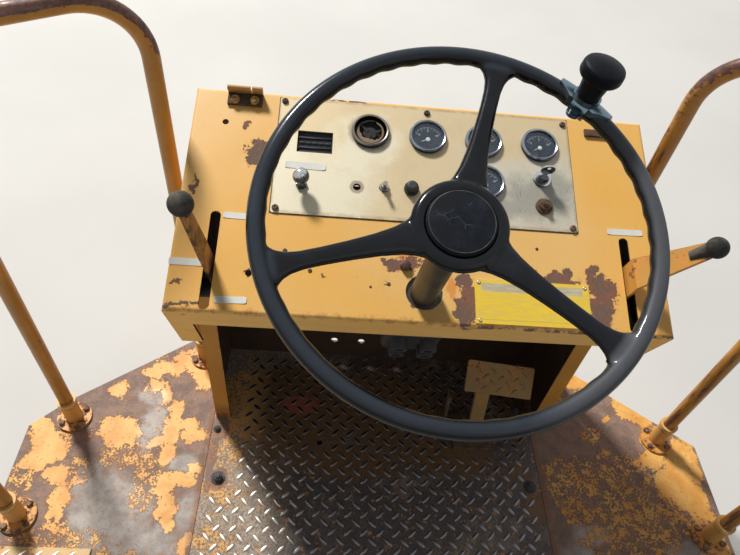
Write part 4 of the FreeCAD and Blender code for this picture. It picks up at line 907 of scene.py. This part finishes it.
# Screws and rivets on the console top: name, look, slot, then across, along, seat, width, height, sides
SCREWS = (
    ("plate_screws_dark", "bolt_rust", "rusty_iron",
     [(u, v, PLATE_SHEET, 0.0105, 0.0042, 16) for u, v in ((-0.226, 0.360), (0.003, 0.3585), (0.229, 0.357))]),
    ("plate_screws_brown", "brown_screw", "rusty_iron",
     [(u, v, PLATE_SHEET, 0.0105, 0.0042, 16) for u, v in ((0.229, 0.167), (-0.226, 0.168))]),
    ("sign_screws", "zinc", "plain_steel",
     [(u, v, 0.0015, 0.006, 0.0016, 14) for u in (0.078, 0.2375) for v in (0.069, 0.011)]),
    ("console_bolts", "bolt_rust", "rusty_iron",
     [(-0.168, 0.071, 0.0, 0.0065, 0.0012, 12), (-0.054, 0.058, 0.0, 0.006, 0.0012, 12),
      (-0.080, 0.052, 0.0, 0.004, 0.0008, 12), (0.170, 0.129, 0.0, 0.005, 0.001, 12)]),
    ("hinge_bolts", "tan_bolt", "yellow_paint", [(u, 0.353, 0.005, 0.0145, 0.0064, 20) for u in (-0.3041, -0.2736)]),
)
for name, look_name, slot, heads in SCREWS:
    screws = bmesh.new()
    for u, v, seat, width, height, sides in heads:
        round_head(screws, on_panel(u, v, seat), width, height, sides)
    if name == "console_bolts":
        for u, v, width, height in ((-0.030, 0.087, 0.014, 0.009), (-0.206, 0.100, 0.006, 0.002)):
            hex_bolt(screws, on_panel(u, v, 0.0, u * 30), width, height)
    piece(name, screws, look_name)


# --- Tread lugs

def lug(build, place, length, width, height):
    """One raised lug of tread plate, a pointed oval with sloping flanks."""
    rows = ((1.0, 1.0, 0.0), (0.80, 0.80, height * 0.7), (0.68, 0.50, height))
    loft(build, [[place @ Vector((math.cos(angle) * (length / 2 * long), math.sin(angle) * width / 2 * wide, rise))
                  for angle in circle(10)] for long, wide, rise in rows], "top")


def lug_field(name, place, span, pitch, keep, look_name, body="root", size=(0.0225, 0.0084, 0.0018),
              start=(0.0, 0.0)):
    """Lugs over a field in two crossed sets, the second between the first, where the keep test allows."""
    build = bmesh.new()
    length, width, height = size
    columns = int(span[0] / pitch[0] / 2) + 1
    rows = int(span[1] / pitch[1] / 2) + 1
    for i in range(-columns, columns + 1):
        for j in range(-rows, rows + 1):
            for turn, half in ((45.0, 0.0), (-45.0, 0.5)):
                x = (i + half) * pitch[0] + start[0]
                y = (j + half) * pitch[1] + start[1]
                if abs(x) <= span[0] / 2 and abs(y) <= span[1] / 2 and keep(x, y):
                    spot = place @ shift(x, y) @ spin(math.radians(turn))
                    lug(build, spot, length, width, height * random.uniform(0.85, 1.0))
    piece(name, build, look_name, body)


deck_low, deck_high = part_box("deck_centre")
deck_middle = ((deck_low[0] + deck_high[0]) / 2, (deck_low[1] + deck_high[1]) / 2)
pedal_feet = (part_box("pedal_bracket"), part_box("pedal_latch"))
DRAIN = Vector((-0.136, 0.100))
LUG_MARGIN = 0.013
FAR_PANEL = 0.322
PEDESTAL_SIDE = 0.330


def deck_free(x, y):
    """Whether a lug may stand here on the middle deck plate."""
    here = Vector((x + deck_middle[0], y + deck_middle[1]))
    inside = (deck_low[0] + LUG_MARGIN < here.x < deck_high[0] - LUG_MARGIN
              and deck_low[1] + LUG_MARGIN < here.y < FAR_PANEL)
    below_pedestal = abs(here.x) > PEDESTAL_SIDE and here.y > 0.140
    worn_corner = here.x < -0.300 and here.y > -0.022
    if not inside or below_pedestal or worn_corner or (here - DRAIN).length < 0.020:
        return False
    for low, high in pedal_feet:
        if low[0] - 0.011 < here.x < high[0] + 0.011 and low[1] - 0.011 < here.y < high[1] + 0.011:
            return False
    return all((here - Vector(bolt[:2])).length > 0.022 for bolt in DECK_BOLTS)


def anywhere(x, y):
    """A field without gaps."""
    return True


LUG_PITCH = (0.0325, 0.0360)
LUG_START = (-0.362, -0.055)
lug_field("deck_lugs", at_place(*deck_middle), (0.74, 0.62), LUG_PITCH, deck_free, "tread_lug",
          start=[(LUG_START[k] - deck_middle[k]) % LUG_PITCH[k] for k in range(2)])

tread_low, tread_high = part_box("rear_tread")
tread_place = at_place((tread_low[0] + tread_high[0]) / 2, (tread_low[1] + tread_high[1]) / 2, tread_high[2])
lug_field("rear_tread_lugs", tread_place, (0.176, 0.076), (0.030, 0.032), anywhere, "rear_lug",
          size=(0.021, 0.006, 0.0014), start=(0.004, 0.002))

PEDAL_PIVOT = Vector(joints["pedal_press"]["pos_m"])
PEDAL_LEAN = math.radians(18.0)
PEDAL_SLOPE = math.radians(42.0)
PEDAL_TURN = math.radians(-5.0)
PEDAL_ARM = 0.118
pad_base = PEDAL_PIVOT + Vector((0.0, math.sin(PEDAL_LEAN), math.cos(PEDAL_LEAN))) * PEDAL_ARM
pad_frame = shift(*pad_base) @ spin(PEDAL_SLOPE, "X") @ spin(PEDAL_TURN) @ shift(0.030, 0.0136, 0.006)
lug_field("pedal_lugs", pad_frame, (0.122, 0.054), (0.0330, 0.0250), anywhere, "pedal_lug", "pedal",
          (0.0190, 0.0062, 0.0016), (0.002, 0.003))


# --- Labels

def strip(build, place, length, width, thick, curl):
    """A thin strip with rounded corners, its ends lifting slightly."""
    steps = 14
    rings = []
    for i in range(steps + 1):
        share = i / steps * 2 - 1
        half = width / 2 * (1.0 - 0.25 * max(0.0, abs(share) - 0.94) / 0.06)
        lift = curl * share ** 6
        rings.append([place @ Vector((share * length / 2, y, lift + rise))
                      for y, rise in ((-half, thick), (-half, 0.0), (half, 0.0), (half, thick))])
    loft(build, rings)


# Blank strips on the console: middle across, along, length, width, height of what they lie on
LABELS = (
    (-0.186, 0.2435, 0.062, 0.012, PLATE_SHEET), (-0.270, 0.151, 0.060, 0.010, 0.0),
    (-0.343, 0.0735, 0.048, 0.011, 0.0), (-0.2755, 0.020, 0.045, 0.010, 0.0), (0.312, 0.167, 0.056, 0.010, 0.0),
)
labels = bmesh.new()
for u, v, length, width, base in LABELS:
    strip(labels, on_panel(u, v, base + 0.0001, random.uniform(-0.03, 0.03)), length, width, 0.0005, 0.0006)
piece("blank_labels", labels, "label", smooth=False)


# --- Dials

BEZEL_TOP = PLATE_SHEET + 0.008
DIAL_BASE = BEZEL_TOP - 0.005
# Dials: across, along, where the needle points
DIALS = ((0.0037, 0.3121, 205.0), (0.0941, 0.3110, 160.0), (0.1860, 0.3121, 208.0), (0.0941, 0.2361, 150.0))
SCALE_START = 150.0
SCALE_SWEEP = -120.0


def bar(build, place, length, width, height):
    """A thin tapered bar along local X from the place."""
    corners = [(0.0, -width / 2), (length, -width / 5), (length, width / 5), (0.0, width / 2)]
    loft(build, [[place @ Vector((x, y, z)) for x, y in corners] for z in (0.0, height)])


def around(pivot, degrees, reach, height=0.0):
    """A frame at a reach from a pivot, looking away from it."""
    return pivot @ spin(math.radians(degrees)) @ shift(reach, 0.0, height)


def figure(text, place):
    """A figure on a dial, as a mesh."""
    curve = bpy.data.curves.new("figure", "FONT")
    curve.body = text
    curve.size = 0.0050
    curve.align_x = "CENTER"
    curve.align_y = "CENTER"
    curve.extrude = 0.00005
    mesh = baked(bpy.data.objects.new("figure", curve))
    mesh.transform(place)
    return mesh


marks, needles, figures = bmesh.new(), bmesh.new(), bmesh.new()
for u, v, needle in DIALS:
    pivot = on_panel(u, v - 0.006, DIAL_BASE)
    for k in range(9):
        inner = 0.0205 if k % 2 else 0.0185
        bar(marks, around(pivot, SCALE_START + SCALE_SWEEP * k / 8, inner, 0.00005), 0.0225 - inner, 0.0007, 0.0001)
    for k in range(24):
        tick = around(pivot, SCALE_START + SCALE_SWEEP * k / 24, 0.0228, 0.00005) @ spin(math.pi / 2)
        bar(marks, tick, -0.0021, 0.0003, 0.0001)
    bar(needles, around(pivot, needle, 0.0, 0.0009), 0.0175 if needle < 180 else 0.012, 0.0015, 0.0004)
    turned(needles, pivot, ((0.0036, 0.0), (0.0036, 0.0014), (0.0028, 0.002)), 20)
    for angle, text in ((150.0, "0"), (90.0, "5"), (30.0, "10")):
        turn = math.radians(angle)
        number = figure(text, pivot @ shift(0.0158 * math.cos(turn), 0.0158 * math.sin(turn), 0.0001))
        figures.from_mesh(number)
        bpy.data.meshes.remove(number)
piece("dial_marks", marks, "dial_mark", smooth=False)
piece("dial_needles", needles, "dial_mark", smooth=False)
piece("dial_figures", figures, "dial_mark", smooth=False)

# The broken gauge: what is left of its card, and a movement behind it, nearly black as painted shade inside the
# bezel
EMPTY = (-0.0882, 0.3140)
CARD_REACH = 0.0216
CARD_THICK = 0.0012
card = bmesh.new()
card_frame = on_panel(*EMPTY, BEZEL_TOP - 0.0075)
rings = [[], [], [], []]
for angle in circle(96):
    cosine, sine = math.cos(angle), math.sin(angle)
    wave = noise.noise(Vector((cosine * 2.2, sine * 2.2, 5.0)))
    bite = 0.0035 * max(0.0, noise.noise(Vector((cosine * 5.0, sine * 5.0, 9.0))))
    torn = 0.0190 - 0.0052 * max(0.0, -math.sin(angle + 0.4)) + 0.0022 * wave + bite
    inner = min(torn, CARD_REACH - 0.0008)
    rows = ((CARD_REACH, 0.0), (inner, 0.0), (inner, CARD_THICK), (CARD_REACH, CARD_THICK))
    for ring, (radius, height) in zip(rings, rows):
        ring.append(card_frame @ Vector((radius * cosine, radius * sine, height)))
loft(card, rings, "joined")
piece("broken_card", card, "card", smooth=False)

movement = bmesh.new()
inside = on_panel(*EMPTY, BEZEL_TOP - 0.018)
turned(movement, inside, ((0.0255, 0.0002), (0.0255, 0.0010), (0.0240, 0.0012), (0.0120, 0.0016), (0.0115, 0.0065),
                          (0.0100, 0.0075), (0.0030, 0.0078)), 28)
for k, (angle, length) in enumerate(((20.0, 0.017), (140.0, 0.019), (255.0, 0.015))):
    bar(movement, around(inside, angle, 0.004, 0.0070 + 0.0008 * k), length, 0.006, 0.0009)
piece("broken_movement", movement, "dark_inside", smooth=False)

# Drums and frame seen through the hour meter's window
METER = (-0.1742, 0.2876)
meter = bmesh.new()
for height, depth in ((0.0155, 0.0008), (0.009, 0.0022), (-0.009, 0.0022), (-0.0155, 0.0008)):
    bar(meter, on_panel(METER[0] - 0.0262, METER[1] + height, -0.003), 0.0524, 0.0030, depth)
for k in range(5):
    drum = on_panel(METER[0] - 0.0200 + k * 0.0100, METER[1], -0.0030)
    drum = drum @ spin(math.pi / 2, "Y") @ shift(0.0, 0.0, -0.0042)
    turned(meter, drum, ((0.0022, 0.0), (0.0024, 0.0004), (0.0024, 0.0080), (0.0022, 0.0084)), 16)
piece("meter_drums", meter, "meter_dark")


# --- The steering wheel

RIM_RADIUS = 0.2196
RIM_TUBE = 0.0107
SPOKE_ANGLES = (77.0, 198.0, 321.0)
GRIPS = 48
# Spoke sections: distance out, half width, half thickness, height of the middle
SPOKE_ROWS = (
    (0.012, 0.036, 0.0080, -0.0150), (0.030, 0.034, 0.0080, -0.0145), (0.045, 0.0270, 0.0084, -0.0135),
    (0.058, 0.0205, 0.0086, -0.0118), (0.072, 0.0165, 0.0086, -0.0102), (0.095, 0.0132, 0.0082, -0.0082),
    (0.125, 0.0112, 0.0074, -0.0056), (0.155, 0.0102, 0.0070, -0.0032), (0.178, 0.0104, 0.0069, -0.0016),
    (0.192, 0.0124, 0.0070, -0.0008), (0.202, 0.0165, 0.0072, -0.0003), (0.210, 0.0235, 0.0074, 0.0),
    (0.217, 0.0320, 0.0074, 0.0),
)
# The hub's outline, from its underside round to the seat of the cap: radius, height
HUB_OUTLINE = (
    (0.0235, -0.0340), (0.0248, -0.0335), (0.0250, -0.0262), (0.0270, -0.0238), (0.0320, -0.0204), (0.0389, -0.0174),
    (0.0470, -0.0148), (0.0548, -0.0126), (0.0556, -0.0108), (0.0556, -0.0076), (0.0545, -0.0048), (0.0520, -0.0024),
    (0.0490, -0.0009), (0.0455, -0.0005), (0.0404, -0.0008), (0.0400, -0.0045), (0.0100, -0.0045),
)


def rim_tube(theta, phi):
    """The rim's radius round its tube: a crease inside, and soft finger grips below it."""
    crease = math.exp(-((phi - math.radians(192)) / 0.10) ** 2)
    facing = max(0.0, math.cos(phi - math.radians(228))) ** 1.2
    return RIM_TUBE - 0.0006 * crease - 0.0015 * facing * (0.5 - 0.5 * math.cos(GRIPS * theta))


def rim_point(theta, phi):
    """A point on the rim's skin, by the angles round the wheel and round the tube."""
    tube = rim_tube(theta, phi)
    reach = RIM_RADIUS + tube * math.cos(phi)
    return Vector((reach * math.cos(theta), reach * math.sin(theta), tube * math.sin(phi)))


def spoke_point(phi, reach, wide, thick, height):
    """A point on a spoke's flat-oval section; near the rim the sections bend along it."""
    y = math.copysign(abs(math.cos(phi)) ** 0.8, math.cos(phi)) * wide
    z = math.copysign(abs(math.sin(phi)) ** 0.8, math.sin(phi)) * thick + height
    return Vector((math.sqrt(max(0.0, reach * reach - y * y)) if reach > 0.15 else reach, y, z))


# Rim, spokes and hub are melted into one moulding, with soft fillets where they meet
wheel = bmesh.new()
loft(wheel, [[rim_point(theta, phi) for phi in circle(36)] for theta in circle(576)], "joined")
for angle in SPOKE_ANGLES:
    turn = spin(math.radians(angle))
    loft(wheel, [[turn @ spoke_point(phi, *row) for phi in circle(24)] for row in SPOKE_ROWS])
turned(wheel, Matrix.Identity(4), HUB_OUTLINE, 96)
bmesh.ops.recalc_face_normals(wheel, faces=wheel.faces)
holder = bpy.data.objects.new("wheel_shells", new_mesh("wheel_shells", wheel))
melt = holder.modifiers.new("melt", "REMESH")
melt.mode = "VOXEL"
melt.voxel_size = 0.0019
melt.use_smooth_shade = True
soften = holder.modifiers.new("soften", "SMOOTH")
soften.factor = 0.5
soften.iterations = 7
moulding = baked(holder)
moulding.transform(WHEEL)
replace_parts(mesh_piece("wheel_moulding", moulding, "wheel_black", "steering"), "steering_wheel")

# A thin grey ring near the edge of the cap
cap_ring = bmesh.new()
turned(cap_ring, WHEEL, ((0.0362, 0.0024), (0.0368, 0.0029), (0.0374, 0.0024), (0.0368, 0.0014)), 96, "joined")
piece("cap_ring", cap_ring, "knob_grey", "steering")


# --- Floor, light and camera

FLOOR_HALF = 14.0


def floor():
    """A wide pale floor."""
    mesh = bpy.data.meshes.new("floor")
    corners = [(x * FLOOR_HALF, y * FLOOR_HALF, 0.0) for x, y in ((-1, -1), (1, -1), (1, 1), (-1, 1))]
    mesh.from_pydata(corners, [], [(0, 1, 2, 3)])
    look = Look("floor_pale")
    colour = look.part.noise(0.8, 4, 0.5).fade(0.3, 0.7).mix((212, 212, 210), (220, 220, 218))
    mesh.materials.append(look.finish(colour, 0.9, specular=0.1))
    thing = bpy.data.objects.new("floor", mesh)
    bpy.context.scene.collection.objects.link(thing)


def lamp(name, place, target, size, energy, colour):
    """A soft square lamp aimed at a point."""
    data = bpy.data.lights.new(name, "AREA")
    data.shape = "SQUARE"
    data.size = size
    data.energy = energy
    data.color = colour
    thing = bpy.data.objects.new(name, data)
    thing.location = place
    thing.rotation_euler = (Vector(target) - Vector(place)).to_track_quat("-Z", "Y").to_euler()
    bpy.context.scene.collection.objects.link(thing)


def surroundings():
    """Pale even light from all round, and a white background."""
    world = bpy.data.worlds.new("surroundings")
    world.use_nodes = True
    nodes, link = world.node_tree.nodes, world.node_tree.links.new
    nodes.clear()
    glows = []
    for colour, strength in (((0.93, 0.96, 1.0, 1.0), 0.14), ((0.9, 0.9, 0.9, 1.0), 1.0)):
        glow = nodes.new("ShaderNodeBackground")
        glow.inputs["Color"].default_value = colour
        glow.inputs["Strength"].default_value = strength
        glows.append(glow)
    path = nodes.new("ShaderNodeLightPath")
    shown = path.outputs["Is Camera Ray"]
    for kind in ("Is Glossy Ray", "Is Transmission Ray"):
        joined = nodes.new("ShaderNodeMath")
        joined.operation = "MAXIMUM"
        link(shown, joined.inputs[0])
        link(path.outputs[kind], joined.inputs[1])
        shown = joined.outputs["Value"]
    mix = nodes.new("ShaderNodeMixShader")
    link(shown, mix.inputs["Fac"])
    link(glows[0].outputs["Background"], mix.inputs[1])
    link(glows[1].outputs["Background"], mix.inputs[2])
    link(mix.outputs["Shader"], nodes.new("ShaderNodeOutputWorld").inputs["Surface"])
    bpy.context.scene.world = world


CAMERA_PLACE = (-0.146007, -0.525813, 1.343696)
CAMERA_YAW = math.radians(6.281891)
CAMERA_PITCH = math.radians(48.146834)
CAMERA_ROLL = math.radians(8.166577)
CAMERA_LENS = 29.9048


def camera():
    """The camera where the photographer's was, standing at the driver's place."""
    data = bpy.data.cameras.new("camera")
    data.lens = CAMERA_LENS
    data.sensor_width = 36.0
    data.clip_start = 0.02
    thing = bpy.data.objects.new("camera", data)
    thing.matrix_world = (shift(*CAMERA_PLACE) @ spin(-CAMERA_YAW) @ spin(math.pi / 2 - CAMERA_PITCH, "X")
                          @ spin(CAMERA_ROLL))
    bpy.context.scene.collection.objects.link(thing)
    bpy.context.scene.camera = thing


floor()
lamp("key", (-4.5, 6.6, 9.8), (0.0, 0.0, 0.5), 1.8, 1880.0, (1.0, 0.965, 0.91))
lamp("fill", (4.4, -4.8, 4.8), (0.0, 0.0, 0.4), 4.8, 28.0, (0.95, 0.97, 1.0))
surroundings()
camera()
bpy.context.scene.view_settings.view_transform = "Standard"
